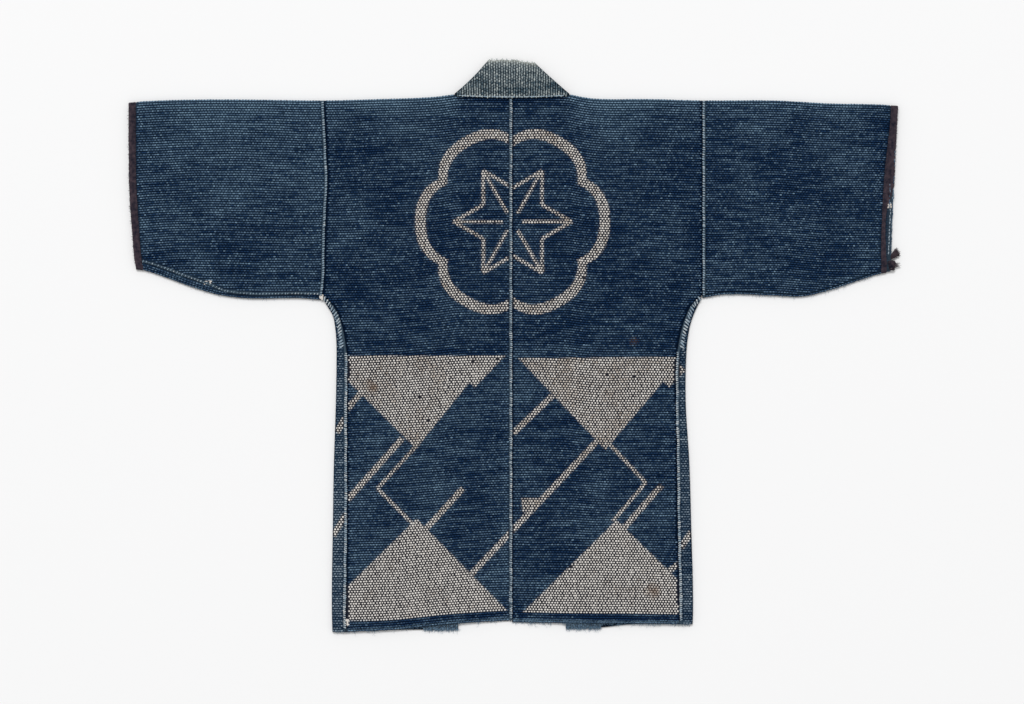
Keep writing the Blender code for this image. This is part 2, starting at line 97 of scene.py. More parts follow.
# %% The outline, as tables of reach or height and the two sides' values
SLEEVE_SEAM = 310.0
SHOULDER_Y = 404.0
HEM_Y = -452.0
NECK_EDGE_Y = 408.2
SHOULDER = {
    "at": (94, 107, 130, 225, 310, 430, 520, 600, 625),
    "left": (410.5, 408.5, 406.0, 402.4, 400.4, 401.8, 401.8, 399.0, 396.8),
    "right": (410.5, 407.5, 403.8, 402.6, 400.4, 400.2, 395.4, 393.8, 392.0),
}
SIDE_SEAM = {
    "at": (-468, -430, -290, -190, -90, -15, 10, 35, 50, 67, 79, 84),
    "left": (269.8, 269.8, 268.0, 268.0, 268.6, 268.3, 271.0, 276.5, 282.0, 291.5, 304.6, 310.0),
    "right": (272.5, 272.5, 269.5, 268.5, 267.5, 268.0, 271.5, 277.5, 283.0, 291.5, 304.6, 310.0),
}
SIDE_EDGE = {
    "at": SIDE_SEAM["at"],
    "left": (292.4, 293.4, 291.8, 290.1, 286.9, 285.8, 286.2, 288.6, 291.8, 301.5, 309.2, 313.0),
    "right": (293.4, 294.8, 291.8, 288.8, 282.9, 283.8, 285.8, 290.1, 295.0, 302.5, 309.2, 313.0),
}
BACK_HEM = {
    "at": (0, 88, 150, 186, 270, 292),
    "left": (-445.8, -450.7, -456.6, -460.5, -464.6, -465.4),
    "right": (-448.6, -450.0, -450.6, -450.8, -452.0, -452.4),
}
FRONT_HEM = {
    "at": BACK_HEM["at"],
    "left": (-461.0, -461.0, -461.0, -461.6, -463.6, -464.4),
    "right": (-458.0, -458.0, -457.0, -453.0, -451.0, -451.2),
}
UNDERARM = {
    "at": (310, 345, 430, 475, 520, 560, 600, 625),
    "left": (75.8, 78.6, 78.4, 83.6, 96.4, 111.0, 124.0, 125.5),
    "right": (79.0, 84.6, 82.6, 81.6, 92.6, 106.0, 118.4, 121.8),
}
CUFF = {
    "at": (118, 140, 185, 255, 330, 400),
    "left": (610.0, 614.5, 618.5, 623.2, 624.3, 624.3),
    "right": (617.0, 618.2, 619.6, 622.2, 625.4, 629.2),
}

print("places in the shoulder's table:", len(SHOULDER["at"]))

# %% A smooth curve through a table's rows
def mix(low, high, share):
    return low + (high - low) * share


def eased(share):
    """From 0 to 1, level at both ends."""
    return share * share * (3 - 2 * share)


def read(table, side, at):
    """A table's value at each place, on a smooth curve through its rows."""
    places, values = np.array(table["at"], float), np.array(table[side], float)
    steps = np.diff(values) / np.diff(places)
    slopes = np.concatenate([steps[:1], (steps[:-1] + steps[1:]) / 2, steps[-1:]])
    at = np.clip(at, places[0], places[-1])
    n = np.clip(np.searchsorted(places, at, side="right") - 1, 0, len(steps) - 1)
    span = places[n + 1] - places[n]
    t = (at - places[n]) / span
    return (
        (2 * t**3 - 3 * t**2 + 1) * values[n]
        + (t**3 - 2 * t**2 + t) * span * slopes[n]
        + (3 * t**2 - 2 * t**3) * values[n + 1]
        + (t**3 - t**2) * span * slopes[n + 1]
    )


print("shoulder over the left sleeve seam:", float(read(SHOULDER, "left", SLEEVE_SEAM)))

# %% The collar band's measures, and the lines that its two edges follow
BAND_THICK = 4.0
NECK_BASE_REACH, NECK_BASE_Y, NECK_BASE_SAG = 93.5, 411.5, 2.6
NECK_TOP_REACH, NECK_TOP_Y, NECK_TOP_RISE = 36.5, 468.0, 1.6
BAND_LIFT_BASE, BAND_LIFT_TOP, BAND_SAG = 8.2, 4.3, 1.6
BAND_SPREAD = 51.5
BAND_END_Y = {"left": -461.0, "right": -459.0}


def band_outer(y):
    fall = (NECK_BASE_Y - y) / (NECK_BASE_Y - BAND_END_Y["left"])
    return NECK_BASE_REACH + BAND_SPREAD * fall


def band_inner(y):
    fall = (NECK_TOP_Y - y) / (NECK_TOP_Y - BAND_END_Y["left"])
    return NECK_TOP_REACH + BAND_SPREAD * fall


print("band beside the opening at the hem:", round(float(band_inner(HEM_Y))), "mm out")

# %% [markdown]
# ## Where the thick cloth doesn't lie quite flat
#
# Quilted cloth this thick keeps soft swells where it was folded for storage. They
# could come from a cloth simulation, but a simulated sheet of this weight on a table
# only goes flat. A few long low mounds, each placed one by one, keep what the photograph
# shows. A second, much finer wander keeps the rows of stitches from being ruled lines.

# %% Swells and the wander of the rows
SWELLS = (  # side, reach, y, length, width, turn in degrees, height
    ("left", 205, 150, 150, 34, 35, 1.6),
    ("right", 215, 165, 140, 32, -38, 1.5),
    ("left", 180, -150, 170, 40, 8, 1.2),
    ("right", 150, -250, 190, 44, -5, 1.3),
    ("left", 440, 220, 120, 36, 62, 1.5),
    ("right", 450, 230, 130, 34, -55, 1.6),
    ("left", 110, 20, 130, 30, 80, 0.9),
    ("right", 200, 10, 120, 32, -75, 1.0),
)
WANDER = 0.8  # how far a row of stitches strays from its line
RIPPLE = 0.25  # and how far the surface rises and falls along it


def swell(side, reach, y):
    """How much the soft mounds lift the cloth at each place."""
    lift = np.zeros(np.broadcast(reach, y).shape)
    for at_side, at_reach, at_y, length, width, turn, height in SWELLS:
        if at_side == side:
            turn = math.radians(turn)
            along = (reach - at_reach) * math.cos(turn) + (y - at_y) * math.sin(turn)
            across = (y - at_y) * math.cos(turn) - (reach - at_reach) * math.sin(turn)
            lift += height * np.exp(-((along / length * 2) ** 2) - (across / width) ** 2)
    return lift


def wander(side, reach, y):
    """Up and down along a row, in no simple rhythm."""
    start = 1.7 * SIDES[side]
    slow = np.sin(reach / 37.0 + y / 91.0 + start)
    quick = np.sin(reach / 13.0 - y / 29.0 + 2 * start)
    return WANDER * (0.7 * slow + 0.3 * quick)


def ripple(side, reach, y):
    return RIPPLE * np.sin(reach / 9.0 + y / 23.0) * np.sin(reach / 31.0 - y / 17.0)


print("highest swell on the left:", swell("left", 205.0, 150.0))

# %% [markdown]
# ## The pattern in the cloth
#
# The pale figures were kept free of indigo with paste when the quilted cloth was dyed, so
# an edge may cut through a stitch. A painted texture would look printed and would blur
# close by. Instead each figure is a plain shape in millimetres, and each point of each
# stitch asks how far inside it lies.
#
# Two figures are drawn. Round the hips runs a band of facing triangles joined by slant
# bars, a common stepped-lozenge border. Between the shoulders sits a snow ring with a
# hemp-leaf star in it, both common household patterns.

# %% The corners and bars of the pattern
TRIANGLES = (  # three corners each, (x from the seam, y). Some lie beyond the side seam
    ((-309, -15), (-34, -15), (-156, -166)),
    ((-11, -15), (-45, -15), (-61, -67)),
    ((-155, -280), (8, -446), (-325, -446)),
    ((10, -19), (280, -17), (152, -168)),
    ((302, -17), (268, -17), (256, -67)),
    ((170, -282), (338, -446), (4, -446)),
    ((15, -247), (48, -247), (18, -272)),
)
OVER_SEAM = 4.0  # how far a triangle runs on over the side seam's roll
PLAIN_HEM = 16.5  # the last four rows above the hem, with no pattern
THICK_BAR, THIN_BAR, STEP_BAR = 9.5, 5.8, 16.0
BARS = (  # both ends, and the width
    ((-40, -34), (-66, -61), STEP_BAR),
    ((277, -33), (250, -61), STEP_BAR),
    ((-178, -149), (-268, -250), THICK_BAR),
    ((-152, -158), (-219, -231), THIN_BAR),
    ((-219, -231), (-160, -290), THIN_BAR),
    ((-143, -300), (-80, -231), THICK_BAR),
    ((-66, -370), (142, -150), THICK_BAR),
    ((66, -80), (2, -141), THICK_BAR),
    ((158, -158), (218, -222), THIN_BAR),
    ((217, -222), (164, -284), THIN_BAR),
    ((243, -226), (182, -295), THICK_BAR),
    ((-246, -76), (-270, -104), THICK_BAR),
    ((254, -366), (274, -352), THICK_BAR),
    ((-272, -117), (-285, -140), THICK_BAR),
    ((-271, -274), (-291, -308), THICK_BAR),
    ((274, -328), (292, -302), THICK_BAR),
)
RING_CENTRE = (1.0, 203.0)
RING_RADIUS, RING_WIDTH, RING_NOTCH = 150.0, 17.0, 20.0
STAR_RADIUS, STAR_WAIST, STAR_HEART = 96.0, 55.0, 16.0
print("triangles:", len(TRIANGLES), "and bars:", len(BARS))

# %% Distances to the pattern's shapes, below zero inside them
def to_bar(x, y, start, end, width):
    (ax, ay), (bx, by) = start, end
    length = math.hypot(bx - ax, by - ay)
    ux, uy = (bx - ax) / length, (by - ay) / length
    along = (x - ax) * ux + (y - ay) * uy
    aside = np.abs((y - ay) * ux - (x - ax) * uy)
    return np.maximum(aside - width / 2, np.abs(along - length / 2) - length / 2)


def to_triangle(x, y, corners):
    cx, cy = np.mean(corners, axis=0)
    far = np.full(np.broadcast(x, y).shape, -1e6)
    for n, (bx, by) in enumerate(corners):
        ax, ay = corners[n - 1]
        length = math.hypot(bx - ax, by - ay)
        nx, ny = (by - ay) / length, (ax - bx) / length
        if (cx - ax) * nx + (cy - ay) * ny > 0:
            nx, ny = -nx, -ny
        far = np.maximum(far, (x - ax) * nx + (y - ay) * ny)
    return far


def to_snow_ring(x, y):
    """A ring with six round lobes, and a short notch between each two."""
    right, up = x - RING_CENTRE[0], y - RING_CENTRE[1]
    angle = np.arctan2(up, right)
    lobe = np.abs(np.cos(3.0 * angle))
    edge = RING_RADIUS - RING_NOTCH * (1.0 - lobe) ** 1.7
    return np.abs(np.hypot(right, up) - edge) - RING_WIDTH / 2


def star_bars():
    """The hemp leaf's lines: six narrow lozenges that meet in the middle."""
    def spot(radius, degrees):
        turn = math.radians(degrees)
        return (
            RING_CENTRE[0] + radius * math.cos(turn),
            RING_CENTRE[1] + radius * math.sin(turn),
        )

    bars = []
    for middle in range(0, 360, 60):
        tip = spot(STAR_RADIUS, middle)
        bars.append((spot(STAR_HEART, middle), tip, THIN_BAR))
        for waist in (middle - 30, middle + 30):
            bars.append((spot(STAR_WAIST, waist), tip, THIN_BAR))
    return bars


print("the ring is", 2 * RING_RADIUS, "mm across, with", len(star_bars()), "bars in it")

# %% How far each place is from the nearest pale figure
def paleness(x, y):
    """Distance to the nearest pale figure, below zero inside it."""
    x = x - SEAM_X
    far = to_snow_ring(x, y)
    for corners in TRIANGLES:
        far = np.minimum(far, to_triangle(x, y, corners))
    far = np.maximum(far, np.abs(x) - read(SIDE_SEAM, "left", y) - OVER_SEAM)
    for start, end, width in (*BARS, *star_bars()):
        far = np.minimum(far, to_bar(x, y, start, end, width))
    hem = np.where(
        x < 0, read(BACK_HEM, "left", np.abs(x)), read(BACK_HEM, "right", np.abs(x))
    )
    return np.maximum(far, hem + PLAIN_HEM - y)


print("the back's middle lies", round(float(paleness(SEAM_X, 203.0))), "mm from a figure")

# %% [markdown]
# ## Shader groups
#
# Indigo sits on the outside of the thread and rubs off it, first where the cloth stands
# up. Every blue material here needs that, so it is one node group, placed in each
# material with its own colours. The same goes for cream thread that has yellowed, for
# stains, and for the plain weave between the stitches. A small helper adds a node and
# fills its sockets, which keeps each recipe short enough to read.

# %% Helpers that add a node and fill its sockets
def fill(tree, node, inputs):
    """Links each input to another node's output, or gives it a plain value."""
    for key, value in inputs.items():
        if isinstance(value, bpy.types.NodeSocket):
            tree.links.new(value, node.inputs[key])
        else:
            node.inputs[key].default_value = value
    return node


def add(tree, kind, inputs=None, **settings):
    node = tree.nodes.new(kind)
    for name, value in settings.items():
        setattr(node, name, value)
    return fill(tree, node, inputs or {})


def math_node(tree, operation, first, second=0.0, clamp=False):
    settings = {"operation": operation, "use_clamp": clamp}
    return add(tree, "ShaderNodeMath", {0: first, 1: second}, **settings).outputs[0]


def times_plus(tree, value, factor, offset):
    inputs = {0: value, 1: factor, 2: offset}
    return add(tree, "ShaderNodeMath", inputs, operation="MULTIPLY_ADD").outputs[0]


def noise(tree, place, scale, detail, roughness=0.5):
    inputs = {"Vector": place, "Scale": scale, "Detail": detail, "Roughness": roughness}
    return add(tree, "ShaderNodeTexNoise", inputs).outputs[0]


def mix_colours(tree, share, first, second, way="MIX"):
    inputs = {0: share, 6: first, 7: second}
    return add(tree, "ShaderNodeMix", inputs, data_type="RGBA", blend_type=way).outputs[2]


print("node helpers ready")

# %% A helper that starts a shader group
FLOAT, COLOUR, PLACE = "NodeSocketFloat", "NodeSocketColor", "NodeSocketVector"


def new_group(name, inputs, outputs):
    """An empty shader group with named sockets, and its two end nodes."""
    tree = bpy.data.node_groups.new(name, "ShaderNodeTree")
    for socket, kind in inputs:
        tree.interface.new_socket(socket, in_out="INPUT", socket_type=kind)
    for socket, kind in outputs:
        tree.interface.new_socket(socket, in_out="OUTPUT", socket_type=kind)
    start = tree.nodes.new("NodeGroupInput")
    end = tree.nodes.new("NodeGroupOutput")
    return tree, start, end


print("groups take numbers, colours and places")

# %% Rubbed indigo: how much blue is left
STREAKS = (26.0, 240.0, 60.0)  # to the metre in X, Y and Z, so that they run along the rows


def make_rubbed_indigo():
    tree, start, end = new_group(
        "rubbed indigo",
        [("Place", PLACE), ("Deep", COLOUR), ("Rubbed", COLOUR), ("Rub", FLOAT), ("Chance", FLOAT)],
        [("Colour", COLOUR)],
    )
    place = start.outputs["Place"]
    patches = noise(tree, place, 9.0, 4.0)
    along = add(tree, "ShaderNodeVectorMath", {0: place, 1: STREAKS}, operation="MULTIPLY")
    runs = times_plus(tree, noise(tree, along.outputs[0], 1.0, 2.0), 1.5, -0.95)
    total = math_node(tree, "ADD", patches, runs)
    total = math_node(tree, "ADD", total, start.outputs["Chance"])
    # Rub holds wear, and on the back also painted shade under the collar and beside the seams.
    total = math_node(tree, "ADD", total, start.outputs["Rub"], clamp=True)
    colour = mix_colours(tree, total, start.outputs["Deep"], start.outputs["Rubbed"])
    tree.links.new(colour, end.inputs["Colour"])
    return tree


rubbed_indigo = make_rubbed_indigo()
print("group:", rubbed_indigo.name)

# %% Old cream cotton: clean thread, greyed and yellowed in patches
def make_old_cream():
    tree, start, end = new_group(
        "old cream",
        [("Place", PLACE), ("Clean", COLOUR), ("Grimy", COLOUR), ("Chance", FLOAT)],
        [("Colour", COLOUR)],
    )
    cloud = noise(tree, start.outputs["Place"], 16.0, 5.0, roughness=0.65)
    grime = times_plus(tree, cloud, 2.2, -0.95)
    grime = math_node(tree, "SUBTRACT", grime, start.outputs["Chance"], clamp=True)
    colour = mix_colours(tree, grime, start.outputs["Clean"], start.outputs["Grimy"])
    tree.links.new(colour, end.inputs["Colour"])
    return tree


old_cream = make_old_cream()
print("group:", old_cream.name)

# %% Stains: a few ragged spots at named places
STAINS = (  # x, y, radius in mm
    (-229.0, -67.0, 13.0),
    (-236.0, -58.0, 7.0),
    (196.0, 8.0, 9.0),
    (228.0, -398.0, 16.0),
)
STAIN_LEVEL = 8.0  # about the height of the coat's face over the table


def make_stains():
    tree, start, end = new_group(
        "old stains", [("Place", PLACE), ("Raggedness", FLOAT)], [("Mask", FLOAT)]
    )
    place = start.outputs["Place"]
    fray = math_node(tree, "SUBTRACT", noise(tree, place, 130.0, 4.0), 0.5)
    fray = math_node(tree, "MULTIPLY", fray, start.outputs["Raggedness"])
    mask = 0.0
    for x, y, radius in STAINS:
        middle = (x * MM, y * MM, STAIN_LEVEL * MM)
        away = add(tree, "ShaderNodeVectorMath", {0: place, 1: middle}, operation="DISTANCE")
        share = math_node(tree, "DIVIDE", away.outputs["Value"], radius * MM)
        share = math_node(tree, "ADD", share, fray)
        spot = math_node(tree, "SUBTRACT", 1.0, share, clamp=True)
        mask = math_node(tree, "MAXIMUM", mask, spot)
    tree.links.new(mask, end.inputs["Mask"])
    return tree


old_stains = make_stains()
print("group:", old_stains.name, "with", len(STAINS), "spots")

# %% Plain weave: threads over and under, as a height
def make_plain_weave():
    tree, start, end = new_group(
        "plain weave", [("Place", PLACE), ("Pitch", FLOAT)], [("Height", FLOAT), ("Shade", FLOAT)]
    )
    place = start.outputs["Place"]
    apart = add(tree, "ShaderNodeSeparateXYZ", {0: place})
    turns = math_node(tree, "DIVIDE", 2 * math.pi, start.outputs["Pitch"])
    waves = []
    for axis in (0, 1):
        phase = math_node(tree, "MULTIPLY", apart.outputs[axis], turns)
        waves.append(math_node(tree, "SINE", phase))
    height = math_node(tree, "MULTIPLY", *waves)
    height = math_node(tree, "ADD", height, noise(tree, place, 900.0, 2.0))
    tree.links.new(height, end.inputs["Height"])
    tree.links.new(times_plus(tree, height, 0.22, 0.86), end.inputs["Shade"])
    return tree


plain_weave = make_plain_weave()
print("group:", plain_weave.name)

# %% [markdown]
# ## Materials
#
# Old cotton is dull: high roughness, almost no gloss, a trace of fuzz that catches the
# light. What tells its parts apart is colour. The ground cloth lies low between the
# stitches and keeps its indigo, while the thread on top is rubbed; the ground's deep blue
# is darker still, as painted shade in the furrows. Each mesh carries values at its
# points, which these materials read: `pale` for the pattern, `rub` for wear at edges and,
# on the back, for painted shade under the collar and beside the seams, and `chance` for
# how one stitch differs from the next. The cloth has `rib` and `cord` too, for the rows
# and the rolled seams that stand up from it.

# %% Material helpers
def place_group(tree, group, inputs):
    """The outputs of a group that is placed with its own inputs."""
    return add(tree, "ShaderNodeGroup", inputs, node_tree=group).outputs


def value_at_points(tree, name):
    return add(tree, "ShaderNodeAttribute", attribute_name=name).outputs["Fac"]


def relief(tree, shader, height, strength, depth):
    """Fine relief on a finish. depth is in metres."""
    inputs = {"Height": height, "Strength": strength, "Distance": depth}
    tree.links.new(add(tree, "ShaderNodeBump", inputs).outputs[0], shader.inputs["Normal"])


def new_cotton(name, roughness, fuzz):
    """A material with its shader, its tree and the place on the cloth."""
    made = bpy.data.materials.new(name)
    made.use_nodes = True
    tree = made.node_tree
    shader = fill(tree, tree.nodes["Principled BSDF"], {
        "Roughness": roughness,
        "Specular IOR Level": 0.03,
        "Sheen Weight": fuzz,
        "Sheen Roughness": 0.6,
    })
    place = tree.nodes.new("ShaderNodeTexCoord").outputs["Object"]
    return made, tree, shader, place


def blue(tree, place, deep, rubbed, chance=0.0):
    """Indigo that is worn from one blue to another."""
    return place_group(tree, rubbed_indigo, {
        "Place": place,
        "Deep": deep,
        "Rubbed": rubbed,
        "Rub": value_at_points(tree, "rub"),
        "Chance": chance,
    })["Colour"]


print("materials are made below, one to a finish")

# %% The ground cloth of each part of the coat
RIB_DEEP = (0.0032, 0.0120, 0.0330, 1.0)
RIB_RUBBED = (0.0400, 0.0740, 0.1120, 1.0)
CORD = (0.0520, 0.0800, 0.1080, 1.0)
CORD_SHARE = 0.85
RUST = (0.1700, 0.0950, 0.0450, 1.0)
RUST_ON_CLOTH, RUST_ON_THREAD = 0.25, 0.75
CLOTH_WEAVE, TAPE_WEAVE = 0.0011, 0.0013  # metres for two threads of the weave


def cotton_ground(name, deep, rubbed, pale):
    """The quilted cloth itself: deep blue in its furrows, darkened further as painted shade, and
    rubbed on its ribs.
    """
    made, tree, shader, place = new_cotton(name, roughness=0.95, fuzz=0.0)
    furrows = blue(tree, place, deep, rubbed)
    ribs = blue(tree, place, RIB_DEEP, RIB_RUBBED)
    weave = place_group(tree, plain_weave, {"Place": place, "Pitch": CLOTH_WEAVE})
    stained = place_group(tree, old_stains, {"Place": place, "Raggedness": 1.1})
    colour = mix_colours(tree, value_at_points(tree, "rib"), furrows, ribs)
    colour = mix_colours(tree, value_at_points(tree, "pale"), colour, pale)
    rubbed_cord = math_node(tree, "MULTIPLY", value_at_points(tree, "cord"), CORD_SHARE)
    colour = mix_colours(tree, rubbed_cord, colour, CORD)
    amount = math_node(tree, "MULTIPLY", stained["Mask"], RUST_ON_CLOTH)
    colour = mix_colours(tree, amount, colour, RUST)
    colour = mix_colours(tree, 1.0, colour, weave["Shade"], way="MULTIPLY")
    tree.links.new(colour, shader.inputs["Base Color"])
    relief(tree, shader, weave["Height"], strength=0.35, depth=0.0004)
    return made


# The deep blue here is darker than the dye alone: partly kept indigo, partly painted shade in the
# furrows between the stitches.
INDIGO = ((0.0004, 0.0028, 0.0105, 1.0), (0.0055, 0.0150, 0.0310, 1.0))  # deep, and rubbed
PALE_GROUND = (0.0270, 0.0270, 0.0330, 1.0)
GUSSET_INDIGO = ((0.0035, 0.0110, 0.0250, 1.0), (0.0180, 0.0340, 0.0560, 1.0))
COLLAR_INDIGO = ((0.0050, 0.0110, 0.0180, 1.0), (0.0620, 0.0820, 0.0980, 1.0))
COLLAR_EDGE = (0.3200, 0.3300, 0.3000, 1.0)
GROUNDS = {
    "body": (*INDIGO, PALE_GROUND),
    "sleeve": (*INDIGO, PALE_GROUND),
    "gusset": (*GUSSET_INDIGO, PALE_GROUND),
    "collar": (*COLLAR_INDIGO, COLLAR_EDGE),
}
ground = {part: cotton_ground(f"{part} ground", *colours) for part, colours in GROUNDS.items()}
print("cloth materials:", len(ground))

# %% The quilting thread of each part
CREAM_THREAD = (0.7200, 0.6900, 0.6500, 1.0)
GRIMY_THREAD = (0.4300, 0.3600, 0.2900, 1.0)


def cotton_thread(name, deep, rubbed):
    """The thread of the quilting, blue or cream by its place in the pattern."""
    made, tree, shader, place = new_cotton(name, roughness=0.88, fuzz=0.015)
    chance = value_at_points(tree, "chance")
    pale = value_at_points(tree, "pale")
    cream = place_group(tree, old_cream, {
        "Place": place,
        "Clean": CREAM_THREAD,
        "Grimy": GRIMY_THREAD,
        "Chance": chance,
    })
    stained = place_group(tree, old_stains, {"Place": place, "Raggedness": 1.4})
    colour = mix_colours(tree, pale, blue(tree, place, deep, rubbed, chance), cream["Colour"])
    amount = math_node(tree, "MULTIPLY", stained["Mask"], pale)
    amount = math_node(tree, "MULTIPLY", amount, RUST_ON_THREAD)
    colour = mix_colours(tree, amount, colour, RUST)
    tree.links.new(colour, shader.inputs["Base Color"])
    relief(tree, shader, noise(tree, place, 1400.0, 2.0), strength=0.4, depth=0.0003)
    return made


INDIGO_THREAD = ((0.0110, 0.0350, 0.0900, 1.0), (0.1620, 0.2580, 0.3550, 1.0))
THREADS = {
    "body": INDIGO_THREAD,
    "sleeve": INDIGO_THREAD,
    "gusset": ((0.050, 0.088, 0.140, 1.0), (0.30, 0.37, 0.43, 1.0)),
    "collar": ((0.066, 0.108, 0.138, 1.0), (0.44, 0.485, 0.475, 1.0)),
}
thread = {part: cotton_thread(f"{part} thread", *colours) for part, colours in THREADS.items()}
print("thread materials:", len(thread))

# %% Seam thread and the cuff tape
SEAM_THREAD = (0.62, 0.63, 0.61, 1.0)
SEAM_THREAD_BLUE = (0.24, 0.32, 0.39, 1.0)
TAPE_BROWN = (0.068, 0.049, 0.060, 1.0)
TAPE_DARK = (0.013, 0.013, 0.023, 1.0)


def seam_cotton():
    made, tree, shader, place = new_cotton("seam thread", roughness=0.85, fuzz=0.02)
    worn = times_plus(tree, noise(tree, place, 75.0, 3.0), 1.6, -0.55)
    worn = math_node(tree, "ADD", worn, value_at_points(tree, "chance"), clamp=True)
    colour = mix_colours(tree, worn, SEAM_THREAD_BLUE, SEAM_THREAD)
    tree.links.new(colour, shader.inputs["Base Color"])
    return made


def tape_cotton():
    made, tree, shader, place = new_cotton("cuff tape", roughness=0.9, fuzz=0.02)
    weave = place_group(tree, plain_weave, {"Place": place, "Pitch": TAPE_WEAVE})
    share = times_plus(tree, noise(tree, place, 170.0, 5.0), 2.4, -0.75)
    share = math_node(tree, "ADD", share, value_at_points(tree, "rub"), clamp=True)
    colour = mix_colours(tree, share, TAPE_DARK, TAPE_BROWN)
    colour = mix_colours(tree, 1.0, colour, weave["Shade"], way="MULTIPLY")
    tree.links.new(colour, shader.inputs["Base Color"])
    relief(tree, shader, weave["Height"], strength=0.6, depth=0.0005)
    return made


seam_thread = seam_cotton()
cuff_tape = tape_cotton()
print("seam and tape materials:", seam_thread.name, "and", cuff_tape.name)

# %% [markdown]
# ## Cloth as a closed shell
#
# A cloth wall has an outside and an inside, 3 mm apart, joined along every raw edge.
# Blender's Solidify modifier could thicken a sheet, but at a fold it pushes the inside
# through itself. So both faces are laid out as grids of points, the outer one with all
# its ribs and the inner one with about every eighth row, and a strip closes each edge.

# %% How far the left sleeve's seam leans in, which everything round it follows
SEAM_LEAN = {
    "at": (80, 98, 144, 190, 235, 270, 315, 361, 395, 405),
    "left": (0.0, 3.1, 4.9, 5.7, 8.0, 9.5, 7.7, 5.4, 3.7, 3.0),
}
LEAN_RUN = (250.0, 150.0)  # how far its pull is felt in the sleeve and in the body


def leaned(points):
    away = points[:, 0] - SEAM_X + SLEEVE_SEAM
    felt = np.clip(1.0 - np.abs(away) / np.where(away < 0, *LEAN_RUN), 0.0, 1.0)
    moved = points.copy()
    moved[:, 0] += eased(felt) * read(SEAM_LEAN, "left", points[:, 1])
    return moved


print("pull at the left sleeve's seam:", leaned(np.array([[SEAM_X - SLEEVE_SEAM, 270.0, 0.0]])))

# %% Turn points into a mesh object
INNER_STEP = 8  # rows of the outside to one of the inside


def as_object(name, mesh, material, values):
    """Puts a mesh in the scene, smooth, with its values at its points."""
    mesh.polygons.foreach_set("use_smooth", np.ones(len(mesh.polygons), bool))
    for key, amounts in values.items():
        layer = mesh.attributes.new(key, "FLOAT", "POINT")
        layer.data.foreach_set("value", np.asarray(amounts, np.float32))
    mesh.materials.append(material)
    piece = bpy.data.objects.new(name, mesh)
    bpy.context.scene.collection.objects.link(piece)
    return piece


def new_piece(name, points, faces, material, values=None):
    """An object from points in millimetres and faces, with values at the points."""
    mesh = bpy.data.meshes.new(name)
    mesh.from_pydata(leaned(points) * MM, [], faces)
    mesh.update()
    return as_object(name, mesh, material, values or {})


def tell(pieces, each=1, what="faces"):
    for piece in pieces:
        print(piece.name, len(piece.data.polygons) // each, what)


def turned_out(piece):
    """Turns a closed mesh's faces outwards."""
    mesh = bmesh.new()
    mesh.from_mesh(piece.data)
    bmesh.ops.recalc_face_normals(mesh, faces=mesh.faces)
    mesh.to_mesh(piece.data)
    mesh.free()
    return piece


def on_side(side, reach):
    """A reach on one side of the coat, as X."""
    return SEAM_X + SIDES[side] * reach


def set_out(side, *grids):
    """Turns the reaches of each grid into X."""
    for grid in grids:
        grid[..., 0] = on_side(side, grid[..., 0])
    return grids


print("points become pieces on either side of X =", SEAM_X)

# %% Build one wall from two grids of points
def shell(name, outer, inner, inner_rows, material, values_at, present=None, ribbed=True):
    """A closed wall. inner_rows are the rows that the inside keeps."""
    rows, columns = outer.shape[:2]
    inner_rows = np.array(inner_rows)
    if present is None:
        present = np.ones((rows - 1, columns - 1), bool)
    points = np.concatenate([outer.reshape(-1, 3), inner[inner_rows].reshape(-1, 3)])
    marked = np.column_stack([np.arange(len(points)) >= rows * columns, np.round(points, 3)])
    _, first, same = np.unique(marked, axis=0, return_index=True, return_inverse=True)
    same = same.reshape(-1)
    held = np.searchsorted(inner_rows, np.arange(rows), side="right") - 1

    def out(row, column):
        return row * columns + column

    def within(row, column):
        return rows * columns + held[row] * columns + column

    r, c = np.nonzero(present)
    quads = [np.stack([out(r, c), out(r, c + 1), out(r + 1, c + 1), out(r + 1, c)], 1)]
    for low, high in zip(inner_rows, inner_rows[1:]):
        c = np.nonzero(present[low])[0]
        quads.append(np.stack(
            [within(low, c), within(high, c), within(high, c + 1), within(low, c + 1)], 1
        ))
    framed = np.pad(present, 1)
    r, c = np.nonzero(framed[1:-1, 1:] != framed[1:-1, :-1])
    quads.append(np.stack([out(r, c), out(r + 1, c), within(r + 1, c), within(r, c)], 1))
    r, c = np.nonzero(framed[1:, 1:-1] != framed[:-1, 1:-1])
    quads.append(np.stack([out(r, c), out(r, c + 1), within(r, c + 1), within(r, c)], 1))
    faces = []
    for quad in same[np.concatenate(quads)].tolist():
        ring = [v for n, v in enumerate(quad) if v != quad[n - 1]]
        if len(set(ring)) == len(ring) > 2:
            faces.append(ring)
    used = np.unique(np.concatenate([np.array(ring) for ring in faces]))
    renumber = np.zeros(len(first), int)
    renumber[used] = np.arange(len(used))
    faces = [[int(renumber[v]) for v in ring] for ring in faces]
    kept = points[first[used]]
    values = values_at(kept)
    if ribbed:
        outside = first[used] < rows * columns
        values["rib"] = (outside & (first[used] // columns % 2 == 1)).astype(float)
    return turned_out(new_piece(name, kept, faces, material, values))


print("shell builder ready")

# %% Helpers for slanting grids and for folds
def settle(reach_at, y_at, start):
    """Where a slanting column, reach_at(y), crosses a slanting row, y_at(reach)."""
    y = start
    for _ in range(6):
        reach = reach_at(y)
        y = y_at(reach)
    return reach + np.zeros_like(y), y


def spots(x, y, z):
    """Points from their coordinates, any of which may be a single number."""
    return np.stack(np.broadcast_arrays(x, y, z), 1)


def half_turn(steps):
    """Sine and cosine at each step along a fold, from its upper side to its lower."""
    angles = math.pi * np.arange(1, steps + 1) / steps
    return np.sin(angles), np.cos(angles)


print("sines round a fold in four steps:", half_turn(4)[0].round(2))
